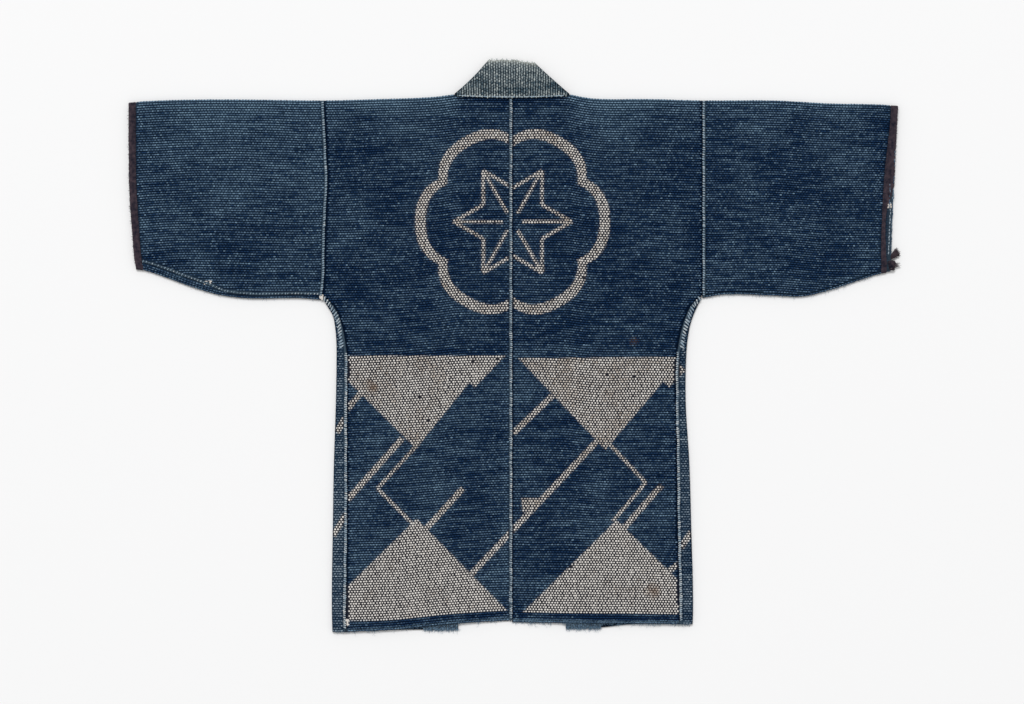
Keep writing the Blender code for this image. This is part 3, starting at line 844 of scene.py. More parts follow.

# %% [markdown]
# ## Wear along edges
#
# Cloth loses its blue where it is bent or rubbed: at the shoulder folds, beside each
# seam, at the hem and at the cuffs. Each edge adds an amount that fades with distance.
# The left sleeve and the skirt of the coat have also had more light than the rest. Just under the
# collar the back is painted darker, as a shadow.

# %% How much each edge is worn
GUSSET_TOP = 78.6
UNDERARM_WRAP = {  # how much of the front's cloth shows on the back, at each reach
    "at": (310, 345, 430, 470, 492, 520, 625),
    "left": (7.0, 5.5, 5.5, 6.5, 10.5, 12.0, 12.0),
    "right": (4.0, 4.0, 4.0, 4.0, 4.0, 4.0, 4.0),
}


def underarm_seam(side, reach):
    return read(UNDERARM, side, reach) + read(UNDERARM_WRAP, side, reach)


def fade(distance, over):
    return np.exp(-np.maximum(distance, 0.0) / over)


# How much more is worn away at an edge, and over what distance that fades
FOLD_WEAR = (0.42, 11.0)
BODY_TOP_WEAR, SLEEVE_TOP_WEAR, TOP_RUN = 0.46, 0.16, 40.0
HEM_WEAR = (0.42, 5.0)
SEAM_WEAR = (0.16, 5.0)
UNDERARM_WEAR = (0.20, 14.0)
CENTRE_WEAR = (0.10, 14.0)
# Parts that have faded more or less than the rest, and a painted shadow under the collar
BACK_DEPTH = 0.11  # how much less the back has faded than the sleeves
HEM_DARK, HEM_DARK_RISE, HEM_DARK_RUN = 0.36, 10.0, 7.0  # rows over the hem that kept their blue
COLLAR_PAINTED_SHADOW, COLLAR_PAINTED_SHADOW_RUN = 2.6, 10.0  # painted shadow on the back under the collar's lower edge: how dark, and over what distance it fades
LEFT_SLEEVE_FADE, LEFT_SLEEVE_FROM, LEFT_SLEEVE_RUN = 0.14, 150.0, 120.0
RIGHT_SLEEVE_DEPTH = 0.07
SKIRT_FADE, SKIRT_FROM, SKIRT_RUN = {"left": 0.16, "right": 0.05}, -20.0, 60.0


def edge_wear(distance, wear):
    amount, run = wear
    return amount * fade(distance, run)


print("wear 5 mm from the shoulder fold:", round(float(edge_wear(5.0, FOLD_WEAR)), 2))

# %% How worn each place is, and where a shadow is painted under the collar
def wear_and_painted_shade(points):
    """Extra wear at each point of the body or the sleeves, less a painted shadow under the collar."""
    x, y = points[:, 0] - SEAM_X, points[:, 1]
    reach = np.abs(x)
    on_body = reach < SLEEVE_SEAM
    worn = np.zeros(len(points))
    for side, sign in SIDES.items():
        fold = read(SHOULDER, side, reach) - y
        above_hem = y - read(BACK_HEM, side, reach)
        broad = np.where(on_body, BODY_TOP_WEAR, SLEEVE_TOP_WEAR)
        edge = edge_wear(fold, FOLD_WEAR) + broad * fade(fold, TOP_RUN)
        edge -= BACK_DEPTH * on_body
        edge += edge_wear(above_hem, HEM_WEAR) * on_body
        edge -= HEM_DARK * fade(np.abs(above_hem - HEM_DARK_RISE), HEM_DARK_RUN) * on_body
        edge += edge_wear(np.abs(reach - SLEEVE_SEAM), SEAM_WEAR)
        edge += edge_wear(y - read(UNDERARM, side, reach), UNDERARM_WEAR) * (reach > SLEEVE_SEAM)
        worn = np.where(x * sign >= 0, edge, worn)
    higher = np.clip((y - LEFT_SLEEVE_FROM) / LEFT_SLEEVE_RUN, -0.4, 1.0)
    worn += LEFT_SLEEVE_FADE * higher * (x < -SLEEVE_SEAM)
    worn -= RIGHT_SLEEVE_DEPTH * (x > SLEEVE_SEAM)
    skirt = np.where(x > 0, SKIRT_FADE["right"], SKIRT_FADE["left"])
    worn += skirt * np.clip((SKIRT_FROM - y) / SKIRT_RUN, 0.0, 1.0)
    # Painted shadow: the back is darkened just under the collar's lower edge, as if cast by the
    # collar.
    dip = np.clip(1.0 - (x / NECK_BASE_REACH) ** 2, 0.0, 1.0)
    below_collar = np.maximum(NECK_BASE_Y - NECK_BASE_SAG * dip - y, 0.0)
    worn -= COLLAR_PAINTED_SHADOW * fade(below_collar, COLLAR_PAINTED_SHADOW_RUN) * np.sqrt(dip)
    return worn + edge_wear(reach, CENTRE_WEAR)


print("wear on the left shoulder fold:", wear_and_painted_shade(np.array([[-200.0, 402.0, 7.0]])))

# %% Where the rolled seams are, and what the cloth carries at its points
ROLL_FOOT = 0.4  # at each side of a roll, too low to be rubbed


def on_roll(distance):
    """1 on a seam's rolled edge, and 0 beside it."""
    return ((distance > ROLL_FOOT) & (distance < RIDGE_WIDTH - ROLL_FOOT)).astype(float)


TAPE = 1.0  # how thick the cuff's tape is
TAPE_COVER = TAPE + GAP
TAPE_WIDTH = 11.0
TAPE_SLIP = {  # how far in each edge of the tape has slipped at a height
    "at": (110, 138, 152, 228, 242, 262, 290, 320, 355, 410),
    "outer": (7.0, 8.0, 9.6, 9.6, 4.5, 0.4, 0.0, 0.0, 0.0, 0.0),
    "inner": (4.0, 5.0, 6.0, 6.0, 6.0, 5.6, 4.4, 2.4, 0.2, 0.0),
}
BACK_FROM = WALL + 0.4  # the back's face lies above this height, and the plain front below
BARE_TOP = 262.0  # up to here the right tape has slipped and bares the cloth's edge


def cord_at(points):
    """1 on the rolled seams, which are rubbed palest of all."""
    x, y = points[:, 0] - SEAM_X, points[:, 1]
    reach = np.abs(x)
    cord = on_roll(-x)
    for side, sign in SIDES.items():
        here = x * sign > 0
        at_side = on_roll(reach - read(SIDE_SEAM, side, y)) * (y < GUSSET_TOP + 2)
        cord = np.maximum(cord, np.where(here & (reach < SLEEVE_SEAM), at_side, 0.0))
    cord = np.maximum(cord, on_roll(reach - SLEEVE_SEAM) * (y > GUSSET_TOP))
    under = y - underarm_seam("left", reach)
    cord = np.maximum(cord, on_roll(under) * (x < -SLEEVE_SEAM))
    bare = (x > read(CUFF, "right", y) - TAPE_WIDTH) & (y < BARE_TOP)
    cord = np.maximum(cord, bare.astype(float))
    return cord * (points[:, 2] > BACK_FROM)


CLOTH_BLUR = 3.0  # how softly the dye ends on the cloth between the stitches
SEAM_SHADE_RUN, SEAM_SHADE_HIDES = 1.6, 0.9  # a painted shade line beside each seam: how far it reaches, and how much paleness it hides


def cloth_values(points):
    """pale, rub, cord and chance for the cloth between the stitches, with a painted shade line beside
    the seams.
    """
    x, y = points[:, 0] - SEAM_X, points[:, 1]
    far = paleness(points[:, 0], points[:, 1])
    pale = np.clip(0.5 - far / CLOTH_BLUR, 0.0, 1.0) * (points[:, 2] > BACK_FROM)
    # Painted shade: a dark line on the right of the centre seam and inside each side seam, made by
    # lowering rub and paleness.
    seam_shade = np.where(x > 0, fade(x, SEAM_SHADE_RUN), 0.0)
    for side in SIDES:
        inside = read(SIDE_SEAM, side, y) - np.abs(x)
        seam_shade = np.maximum(seam_shade, np.where(inside > 0, fade(inside, SEAM_SHADE_RUN), 0.0))
    pale = pale * (1.0 - SEAM_SHADE_HIDES * seam_shade)
    return {
        "pale": pale,
        "rub": wear_and_painted_shade(points) - seam_shade,
        "cord": cord_at(points),
        "chance": np.zeros(len(points)),
    }


print("the tape covers", TAPE_WIDTH, "mm of the cloth's face")

# %% [markdown]
# ## The body panels
#
# Each half of the coat is one length of cloth. It rises from the back hem, turns over
# the shoulder, and goes down the front, which lies face down on the table. The back
# rests on the two collar bands and sinks between them, where the fronts don't meet.
# The rows of the grid are the rows of quilting, two to a row of stitches, so that
# every second one stands up as a rib.

# %% Measures of the back's lie
BED_NECK = 3.4
BED_HEM = 0.8
BED_BAND = 4.4
BACK_ROWS = 2 * round((SHOULDER_Y - HEM_Y) / ROW_PITCH)
FOLD_STEPS = 8
FRONT_ROWS = 30
NECK_CORNER_RISE = 4.0  # towards the collar's mitres
CALM = 14  # the rows run straighter in the first and the last fourteenth of the back


def bed(side, reach, y, share):
    """How high the back's inside lies over the table."""
    rise = np.clip(reach / band_inner(y), 0.0, 1.0)
    rise = mix(rise, eased(rise), 0.6)
    outer = band_outer(y) + GAP
    fall = np.clip((reach - outer) / (read(SIDE_SEAM, side, y) - outer), 0.0, 1.0)
    level = mix(mix(BED_HEM, BED_NECK, share), BED_BAND, rise)
    return mix(level, WALL + AIR, fall)


def roll(distance):
    """The height of a seam's rolled edge, round in section."""
    share = np.clip(distance / RIDGE_WIDTH, 0.0, 1.0)
    return RIDGE_HEIGHT * np.sqrt(np.maximum(0.0, 1.0 - (2 * share - 1) ** 2))


print("rows of half stitches up the back:", BACK_ROWS)

# %% Columns from the centre seam to the side seam
def spaced(low_at, high_at, count):
    """Columns at equal shares between two lines, without the second line itself."""
    return [
        lambda y, share=n / count: mix(low_at(y), high_at(y), share) for n in range(count)
    ]


ROLL_COLUMNS = (GAP / 2, 0.8, 1.9, 3.1, 4.2)  # out from a straight seam, over its roll


def over_roll(seam):
    """Columns over the roll beside a straight seam, and the line where it ends."""
    columns = [lambda y, at=seam + at: at + 0.0 * y for at in ROLL_COLUMNS]
    return columns, lambda y: seam + RIDGE_WIDTH + 0.0 * y


def body_columns(side):
    """The columns, and the number of the first one that the front has too."""
    centre, after_roll = over_roll(0.0)

    def outer(y):
        return band_outer(y) + GAP

    def before_seam(y):
        return read(SIDE_SEAM, side, y) - GAP / 2

    def beside_outer(y):
        return outer(y) - 2 * GAP

    columns = [
        *centre,
        *spaced(after_roll, band_inner, 11),
        *spaced(band_inner, outer, 11),
        beside_outer,
    ]
    first_front = len(columns)
    columns += spaced(outer, before_seam, 29)
    return [*columns, before_seam], first_front


print("columns:", len(body_columns("left")[0]))

# %% One panel: back, shoulder fold and front
def body_grids(side):
    columns, first_front = body_columns(side)
    rows = BACK_ROWS + 1 + FOLD_STEPS + FRONT_ROWS
    outer = np.zeros((rows, len(columns), 3))
    inner = np.zeros_like(outer)
    back = slice(0, BACK_ROWS + 1)
    fold = slice(BACK_ROWS + 1, BACK_ROWS + 1 + FOLD_STEPS)
    front = slice(BACK_ROWS + 1 + FOLD_STEPS, rows)
    share = np.arange(BACK_ROWS + 1) / BACK_ROWS
    calm = np.minimum(1.0, np.minimum(share, 1 - share) * CALM)
    rib = np.where(np.arange(BACK_ROWS + 1) % 2 == 1, RIB_HEIGHT, 0.0)
    out, up = half_turn(FOLD_STEPS)
    down = np.arange(1, FRONT_ROWS + 1) / FRONT_ROWS
    for column, reach_at in enumerate(columns):

        def top(reach):
            radius = (bed(side, reach, SHOULDER_Y, 1.0) + WALL) / 2
            fold_line = read(SHOULDER, side, reach) - radius
            if column >= first_front:
                return fold_line
            share = np.minimum(reach / NECK_BASE_REACH, 1.0) ** 4
            return mix(NECK_EDGE_Y, fold_line, share)

        def back_y(reach):
            y = mix(read(BACK_HEM, side, reach), top(reach), share)
            return y + wander(side, reach, y) * calm

        reach, y = settle(reach_at, back_y, mix(HEM_Y, SHOULDER_Y, share))
        if column < first_front:
            y[-1] += NECK_CORNER_RISE * min(reach[-1] / NECK_BASE_REACH, 1.0) ** 8
        under = bed(side, reach, y, share) + swell(side, reach, y)
        over = under + WALL + rib + ripple(side, reach, y) * calm
        if side == "left":
            over += roll(reach - GAP / 2)
        outer[back, column] = spots(reach, y, over)
        inner[back, column] = spots(reach, y, under)

        reach, y = settle(reach_at, top, np.full(FOLD_STEPS, SHOULDER_Y))
        radius = (bed(side, reach, y, 1.0) + WALL) / 2
        hollow = radius - WALL
        outer[fold, column] = spots(reach, y + radius * out, radius * (1 + up))
        inner[fold, column] = spots(reach, y + hollow * out, radius + hollow * up)

        reach, y = settle(
            reach_at,
            lambda reach: mix(top(reach), read(FRONT_HEM, side, reach), down),
            mix(SHOULDER_Y, HEM_Y, down),
        )
        outer[front, column] = spots(reach, y, 0.0)
        inner[front, column] = spots(reach, y, WALL)
    return (*set_out(side, outer, inner), first_front)


print("rows in a panel:", BACK_ROWS + 1 + FOLD_STEPS + FRONT_ROWS)

# %% The two panels
def body_panel(side):
    outer, inner, first_front = body_grids(side)
    present = np.ones((outer.shape[0] - 1, outer.shape[1] - 1), bool)
    present[BACK_ROWS:, :first_front] = False
    inner_rows = [*range(0, BACK_ROWS, INNER_STEP), *range(BACK_ROWS, outer.shape[0])]
    name = f"quilted_body_{side}"
    piece = shell(name, outer, inner, inner_rows, ground["body"], cloth_values, present)
    return piece, outer


bodies = {side: body_panel(side) for side in SIDES}
tell(piece for piece, _ in bodies.values())

# %% [markdown]
# ## The sleeves
#
# A sleeve is one piece, folded along its top edge and sewn under the arm. On the back
# its rows run parallel to the top fold, so the slanting underarm cuts across them and
# the lower rows run out one by one. On the left the seam is rolled forward and lies on
# the back, a finger's width above the edge.

# %% Measures of the sleeves
UNDERARM_ROLL = {"left": True, "right": False}
SLEEVE_PITCH = {"left": 3.9, "right": 3.7}
SLEEVE_COLUMNS = 56
SLEEVE_FRONT_ROWS = 14
FULL = 2 * WALL + AIR
SLEEVE_CALM = 40.0  # nearer the top fold than this, the rows run straighter
LOWER_EDGE = 90.0  # about where the sleeve's lower edge lies


def sleeve_columns(side):
    """The columns, and the number of the first one under the tape."""
    def inside_tape(y, away=TAPE_WIDTH + 1.0):
        return read(CUFF, side, y) - TAPE_COVER - away

    start, after_roll = over_roll(SLEEVE_SEAM)
    columns = [*start, *spaced(after_roll, inside_tape, SLEEVE_COLUMNS), inside_tape]
    for away in (TAPE_WIDTH, 0.0):
        columns.append(lambda y, away=away: inside_tape(y, away))
    return columns, len(columns) - 2


print("columns:", len(sleeve_columns("left")[0]))

# %% One sleeve: back, top fold, front and underarm fold
def sleeve_grids(side):
    columns, bound = sleeve_columns(side)
    pitch = SLEEVE_PITCH[side] / 2
    back_rows = 2 * round((SHOULDER["left"][0] - UNDERARM["left"][0]) / (2 * pitch))
    from_top = (back_rows - np.arange(back_rows + 1)) * pitch
    odd = np.arange(back_rows + 1) % 2 == 1
    out, up = half_turn(FOLD_STEPS)
    out, up = np.append(0.0, out), np.append(1.0, up)
    outer, inner = [], []
    for column, reach_at in enumerate(columns):
        inset = TAPE_COVER if column >= bound else 0.0
        radius, level = (FULL - inset) / 2, (FULL + inset) / 2

        def top(reach):
            return read(SHOULDER, side, reach) - inset - radius

        def foot(reach):
            return read(UNDERARM, side, reach) + inset + radius

        def seam(reach):
            return underarm_seam(side, reach)

        def back_y(reach):
            y = top(reach) - from_top
            y = y + wander(side, reach, y) * np.minimum(1.0, from_top / SLEEVE_CALM)
            return np.maximum(seam(reach), y)

        reach, y = settle(reach_at, back_y, SHOULDER_Y - from_top)
        lift = swell(side, reach, y)
        over = FULL + lift
        if column < bound:
            rolled = roll(reach - SLEEVE_SEAM)
            if UNDERARM_ROLL[side]:
                rolled = np.maximum(rolled, roll(y - seam(reach)))
            ribbed = np.where(odd & (y > seam(reach)), RIB_HEIGHT, 0.0)
            over = over + rolled + ribbed + ripple(side, reach, y) * (y > seam(reach) + 8)
        line_out = [spots(reach, y, over)]
        line_in = [spots(reach, y, WALL + AIR + lift)]

        reach, y = settle(reach_at, top, np.full(FOLD_STEPS, SHOULDER_Y))
        line_out.append(spots(reach, y + radius * out[1:], level + radius * up[1:]))
        line_in.append(spots(reach, y + AIR / 2 * out[1:], (FULL + AIR * up[1:]) / 2))

        share = np.arange(1, SLEEVE_FRONT_ROWS) / SLEEVE_FRONT_ROWS
        reach, y = settle(
            reach_at,
            lambda reach: mix(top(reach), foot(reach), share),
            mix(SHOULDER_Y, LOWER_EDGE, share),
        )
        line_out.append(spots(reach, y, inset))
        line_in.append(spots(reach, y, WALL))

        reach, y = settle(reach_at, foot, np.full(FOLD_STEPS + 1, LOWER_EDGE))
        line_out.append(spots(reach, y - radius * out, level - radius * up))
        line_in.append(spots(reach, y - AIR / 2 * out, (FULL - AIR * up) / 2))

        reach, y = settle(reach_at, lambda reach: seam(reach) - GAP, np.full(1, LOWER_EDGE))
        line_out.append(spots(reach, y, FULL))
        line_in.append(spots(reach, y, WALL + AIR))
        outer.append(np.concatenate(line_out))
        inner.append(np.concatenate(line_in))
    outer, inner = (np.stack(lines, 1) for lines in (outer, inner))
    return (*set_out(side, outer, inner), back_rows)


print("columns in a sleeve:", SLEEVE_COLUMNS, "and those of its seam and its cuff")

# %% The two sleeves
def sleeve(side):
    outer, inner, back_rows = sleeve_grids(side)
    inner_rows = [*range(0, back_rows, INNER_STEP), *range(back_rows, outer.shape[0])]
    name = f"quilted_sleeve_{side}"
    piece = shell(name, outer, inner, inner_rows, ground["sleeve"], cloth_values)
    return piece, outer, back_rows


sleeves = {side: sleeve(side) for side in SIDES}
tell(piece for piece, _, _ in sleeves.values())

# %% [markdown]
# ## The side gussets
#
# Under each arm a narrow strip joins back to front. It is folded lengthwise, so only
# half of it shows beside the back, as a pale band with a rolled seam along its inner
# edge. Its own rows of stitches are short, and cross it from edge to edge.

# %% One gusset, folded along its outer edge
GUSSET_ROWS = 270
GUSSET_INNER_STEP = 9
GUSSET_FACE_COLUMNS = 9
GUSSET_RIB = RIB_HEIGHT * 0.8


def gusset_grids(side):
    share = np.arange(GUSSET_ROWS + 1) / GUSSET_ROWS
    radius, hollow = FULL / 2, AIR / 2
    seam, y = settle(
        lambda at: read(SIDE_SEAM, side, at) + GAP / 2,
        lambda reach: mix(GUSSET_TOP, read(BACK_HEM, side, reach), share),
        mix(GUSSET_TOP, HEM_Y, share),
    )
    turn = np.maximum(read(SIDE_EDGE, side, y) - radius, seam + 0.4)
    lift = swell(side, seam, y)
    rib = np.where(np.arange(GUSSET_ROWS + 1) % 2 == 1, GUSSET_RIB, 0.0)
    outside, inside = [], []
    for t in np.linspace(0.0, 1.0, GUSSET_FACE_COLUMNS):
        reach = mix(seam, turn, t)
        level = FULL + lift * (1 - t) + roll(reach - seam) + rib * (reach - seam > 1.0)
        outside.append(spots(reach, y, level))
        inside.append(spots(reach, y, FULL - WALL + lift * (1 - t)))
    for out, up in zip(*half_turn(FOLD_STEPS)):
        outside.append(spots(turn + radius * out, y, radius * (1 + up)))
        inside.append(spots(turn + hollow * out, y, radius + hollow * up))
    outside.append(spots(seam, y, 0.0))
    inside.append(spots(seam, y, WALL))
    return set_out(side, np.stack(outside, 1), np.stack(inside, 1))


def side_gusset(side):
    outer, inner = gusset_grids(side)
    rows = [*range(0, GUSSET_ROWS, GUSSET_INNER_STEP), GUSSET_ROWS]
    name = f"quilted_gusset_{side}"
    return shell(name, outer, inner, rows, ground["gusset"], cloth_values), outer


gussets = {side: side_gusset(side) for side in SIDES}
tell(piece for piece, _ in gussets.values())

# %% [markdown]
# ## The collar
#
# The collar is one long doubled band. It lies on the back panel at the neck, turns
# under at a mitre on each side, and runs down each front to the hem, where its ends
# peep out. Its rows of stitches run lengthwise, so behind the neck they stand upright
# and fan out a little towards the free edge.

# %% Measures of the collar, its mitres and its slump
COLLAR_PITCH = 4.0
COLLAR_COUNT = 2 * round(NECK_BASE_REACH / COLLAR_PITCH)
COLLAR_FAN = 0.03  # how much wider apart the rows stand at the free edge
COLLAR_COLUMNS = 15
LEG_ROWS = 40


def up_collar(y):
    """0 at the collar's base behind the neck, 1 at its free edge."""
    return np.clip((y - NECK_BASE_Y) / (NECK_TOP_Y - NECK_BASE_Y), 0.0, 1.0)


def collar_lift(share):
    return mix(BAND_LIFT_BASE, BAND_LIFT_TOP, share)


def mitre_line(share):
    """The mitre fold's line at each share from base to free edge, and its radius."""
    run, rise = NECK_BASE_REACH - NECK_TOP_REACH, NECK_TOP_Y - NECK_BASE_Y
    away = np.array([rise, run]) / math.hypot(run, rise)
    radius = (collar_lift(share) + BAND_THICK) / 2
    reach = mix(NECK_BASE_REACH, NECK_TOP_REACH, share) - radius * away[0]
    y = mix(NECK_BASE_Y, NECK_TOP_Y, share) - radius * away[1]
    return reach, y, radius, away


RIGHT_SLUMP, RIGHT_FROM, RIGHT_RUN = 6.0, -10.0, 62.0
LEFT_SLUMP, LEFT_FROM, LEFT_RUN = 2.6, 34.0, 24.0


def neck_slump(x, y):
    """How much lower the worn collar lies at its right end and its left fold."""
    share = up_collar(y)
    x = x - SEAM_X
    right = eased(np.clip((x - RIGHT_FROM) / RIGHT_RUN, 0.0, 1.0))
    left = eased(np.clip((-x - LEFT_FROM) / LEFT_RUN, 0.0, 1.0))
    return RIGHT_SLUMP * right * share**0.8 + LEFT_SLUMP * left * 4 * share * (1 - share)


print("rows of stitches across the neck:", COLLAR_COUNT)

# %% One leg of the band, on a front
LEG_REACH = 0.97  # the last row of a leg, short of the mitre


def collar_leg(side, share):
    """Rows from a front's hem up to the mitre and over it."""
    reach, y, radius, away = mitre_line(share)
    outside, inside = [], []
    for row in range(LEG_ROWS):
        up = row / (LEG_ROWS - 1) * LEG_REACH
        at = mix(BAND_END_Y[side], mix(NECK_BASE_Y, NECK_TOP_Y, share), up)
        x = on_side(side, mix(band_outer(at), band_inner(at), share))
        outside.append(spots(x, at, 0.0))
        inside.append(spots(x, at, BAND_THICK))
    for step in range(FOLD_STEPS + 1):
        angle = math.pi * step / FOLD_STEPS
        for line, turn in ((outside, radius), (inside, radius - BAND_THICK)):
            x = on_side(side, reach + turn * math.sin(angle) * away[0])
            at = y + turn * math.sin(angle) * away[1]
            line.append(spots(x, at, radius - turn * math.cos(angle)))
    return outside, inside


print("rows of points up a leg:", LEG_ROWS)

# %% The band behind the neck, with a leg at each end
TOP_WAVE, WHOLE_WAVE = (0.9, 9.0), (0.4, 23.0)  # how high the waves are, and how quick
ROUNDED = 0.8  # how much lower the two edges lie than the face


def collar_grids():
    share = np.linspace(0.0, 1.0, COLLAR_COLUMNS)
    reach, y, _, _ = mitre_line(share)
    left_out, left_in = collar_leg("left", share)
    right_out, right_in = collar_leg("right", share)
    neck_out, neck_in = [], []
    rows = 4 * COLLAR_COUNT
    for row in range(1, rows):
        across = 2 * row / rows - 1
        dip = 1 - across * across
        wave = TOP_WAVE[0] * math.sin(across * TOP_WAVE[1]) * share**3
        wave = wave + WHOLE_WAVE[0] * math.sin(across * WHOLE_WAVE[1])
        at = y + mix(-NECK_BASE_SAG, NECK_TOP_RISE, share) * dip + wave * dip
        under = collar_lift(share) - BAND_SAG * share * dip
        rib = RIB_HEIGHT * (0.5 + 0.5 * np.cos(2 * math.pi * reach * across / COLLAR_PITCH))
        over = under + BAND_THICK + rib * min(1.0, (1 - abs(across)) * 12)
        round_edge = np.where((share == 0.0) | (share == 1.0), -ROUNDED, 0.0)
        x = SEAM_X + reach * across
        neck_out.append(spots(x, at, over + round_edge))
        neck_in.append(spots(x, at, under))
    outer = np.array([*left_out, *neck_out, *right_out[::-1]])
    inner = np.array([*left_in, *neck_in, *right_in[::-1]])
    for grid in (outer, inner):
        grid[..., 1] -= neck_slump(grid[..., 0], grid[..., 1])
    return outer, inner


def neck_base(across):
    """The collar's lower edge on the back, at shares of its half width."""
    _, y, _, _ = mitre_line(np.zeros(1))
    return float(y[0]) - NECK_BASE_SAG * (1 - across**2)


COLLAR_TOP_WEAR, COLLAR_BASE_WEAR, LEG_WEAR = (0.55, 9.0), (0.55, 2.5), (0.85, 24.0)
BARE_EDGE, BARE_REACH = (1.1, 2.0), 60.0


def collar_values(points):
    """The free edge behind the neck is rubbed down to bare beige cotton."""
    x, y = points[:, 0] - SEAM_X, points[:, 1]
    top = NECK_TOP_Y - neck_slump(points[:, 0], np.full(len(y), NECK_TOP_Y)) - 2.0
    rub = edge_wear(top - y, COLLAR_TOP_WEAR)
    rub += edge_wear(y - neck_base(0.0) - 0.5, COLLAR_BASE_WEAR)
    rub += 0.15 * up_collar(y) + edge_wear(y - HEM_Y, LEG_WEAR)
    pale = np.minimum(1.0, edge_wear(top - 0.5 - y, BARE_EDGE)) * (np.abs(x) < BARE_REACH)
    none = np.zeros(len(points))
    return {"pale": pale, "rub": rub, "cord": none, "chance": none}


collar_outer, collar_inner = collar_grids()
collar = shell(
    "quilted_collar",
    collar_outer,
    collar_inner,
    range(len(collar_outer)),
    ground["collar"],
    collar_values,
    ribbed=False,
)
tell([collar])

# %% [markdown]
# ## Stitches, one by one
#
# The quilting thread is what one sees of this coat: more than thirty thousand short
# stitches, each a little mound. A bump map would lose them at the edges and in a close
# view, so each is real: eight points, eight triangles, smooth-shaded into a grain. They
# sit on the ribs of the grids made above. Neighbouring rows are half a stitch apart.

# %% The shape of one stitch
STITCH_SIZE = (3.3, 2.45, 0.95)
BLUE_STITCH_SIZE = (4.1, 1.767, 0.95)  # flattened and spread along its row by wear
STITCH_SPACING = 4.7
PATTERN_BLUR = 1.2  # how softly the dye ends along the pattern's edge
STITCH_POINTS = np.array([  # in shares of half the length, half the width and the height
    (-1.0, 0.0, -0.2),
    (-0.55, -1.0, -0.2),
    (0.55, -1.0, -0.2),
    (1.0, 0.0, -0.2),
    (0.55, 1.0, -0.2),
    (-0.55, 1.0, -0.2),
    (-0.42, 0.0, 1.0),
    (0.42, 0.0, 1.0),
])
STITCH_CORNERS = (0, 1, 6, 1, 2, 7, 6, 2, 3, 7, 3, 4, 7, 4, 5, 6, 7, 5, 0, 6)
STITCH_TURNS = (3, 4, 3, 3, 4, 3)
STITCH_FACES = len(STITCH_TURNS)


def unit(ways):
    """Directions, each brought to a length of 1."""
    return ways / np.linalg.norm(ways, axis=1, keepdims=True)


def upwards(count):
    return np.tile((0.0, 0.0, 1.0), (count, 1))


print("one stitch has", len(STITCH_POINTS), "points")

# %% Make many stitches as one mesh
def stitches(name, middles, along, upright, sizes, values, material):
    """Stitches at their middles. sizes has a length, width and height for each."""
    count = len(middles)
    along = unit(along)
    across = unit(np.cross(upright, along))
    upright = np.cross(along, across)
    reach = STITCH_POINTS[None] * (sizes * (0.5, 0.5, 1.0))[:, None]
    points = middles[:, None] + (
        reach[..., :1] * along[:, None]
        + reach[..., 1:2] * across[:, None]
        + reach[..., 2:] * upright[:, None]
    )
    each = len(STITCH_POINTS)
    corners = np.array(STITCH_CORNERS) + np.arange(count)[:, None] * each
    turns = np.tile(STITCH_TURNS, count)
    mesh = bpy.data.meshes.new(name)
    mesh.vertices.add(count * each)
    points = points.reshape(-1, 3)
    mesh.vertices.foreach_set("co", (leaned(points) * MM).reshape(-1))
    mesh.loops.add(corners.size)
    mesh.loops.foreach_set("vertex_index", corners.reshape(-1))
    mesh.polygons.add(len(turns))
    mesh.polygons.foreach_set("loop_start", np.cumsum(turns) - turns)
    mesh.update(calc_edges=True)
    at_points = {key: np.repeat(amounts, each) for key, amounts in values.items()}
    if 0 < values.get("pale", np.zeros(1)).mean() < 1:  # a stitch may lie across the dye's edge
        far = paleness(points[:, 0], points[:, 1])
        at_points["pale"] = np.clip(0.5 - far / PATTERN_BLUR, 0.0, 1.0)
    return as_object(name, mesh, material, at_points)


def tell_stitches(pieces):
    tell(pieces, each=STITCH_FACES, what="stitches")


print("a stitch across the pattern's edge is shaded over", PATTERN_BLUR, "mm")

# %% Lay stitches along the rows of a grid
MISSING = 0.0015  # share of stitches that have worn through
JITTER = 0.28  # how far a stitch strays along its row
LOOK_AROUND = 1.5  # a stitch points along this much of its row, each way


def along_rows(outer, rows, sign, clear, seed):
    """Middles, directions and upward ways of stitches on some rows of a grid.

    clear says how far they keep from the row's first point and from its last one.
    """
    start, end = clear
    rng = np.random.default_rng(seed)
    middles, along, upright = [], [], []
    for row in rows:
        line = outer[row]
        steps = np.linalg.norm(np.diff(line[:, :2], axis=0), axis=1)
        run = np.append(0.0, np.cumsum(steps))
        first = start + (row // 2 % 2) * STITCH_SPACING / 2
        at = np.arange(first, run[-1] - end, STITCH_SPACING)
        at = at + rng.normal(0.0, JITTER, len(at))
        before = outer[max(row - 1, 0)]
        after = outer[min(row + 1, len(outer) - 1)]

        def pick(values, where):
            return np.stack([np.interp(where, run, values[:, n]) for n in range(3)], 1)

        ahead = pick(line, at + LOOK_AROUND) - pick(line, at - LOOK_AROUND)
        upward = pick(after - before, at)
        middles.append(pick(line, at))
        along.append(ahead)
        upright.append(np.cross(ahead, upward) * sign)
    middles, along, upright = (np.concatenate(part) for part in (middles, along, upright))
    tall = np.linalg.norm(upright, axis=1)
    upright = upright / np.maximum(tall, 1e-9)[:, None]
    keep = (rng.random(len(middles)) > MISSING) & (tall > 1e-6)
    return middles[keep], along[keep], upright[keep], rng


print("missing stitches:", MISSING, "of all")

# %% No two stitches the same
SIZE_SPREAD = (0.10, 0.10, 0.14)
CHANCE_SPREAD = 0.17
BRIGHT, BRIGHT_GAIN = 0.05, 0.5  # the share that are rubbed nearly white, and by how much
LOWER_BORDER, LOWER_GAIN = -270.0, 0.35  # below it the cream thread is brighter
ROW_TILT = 5.0  # degrees


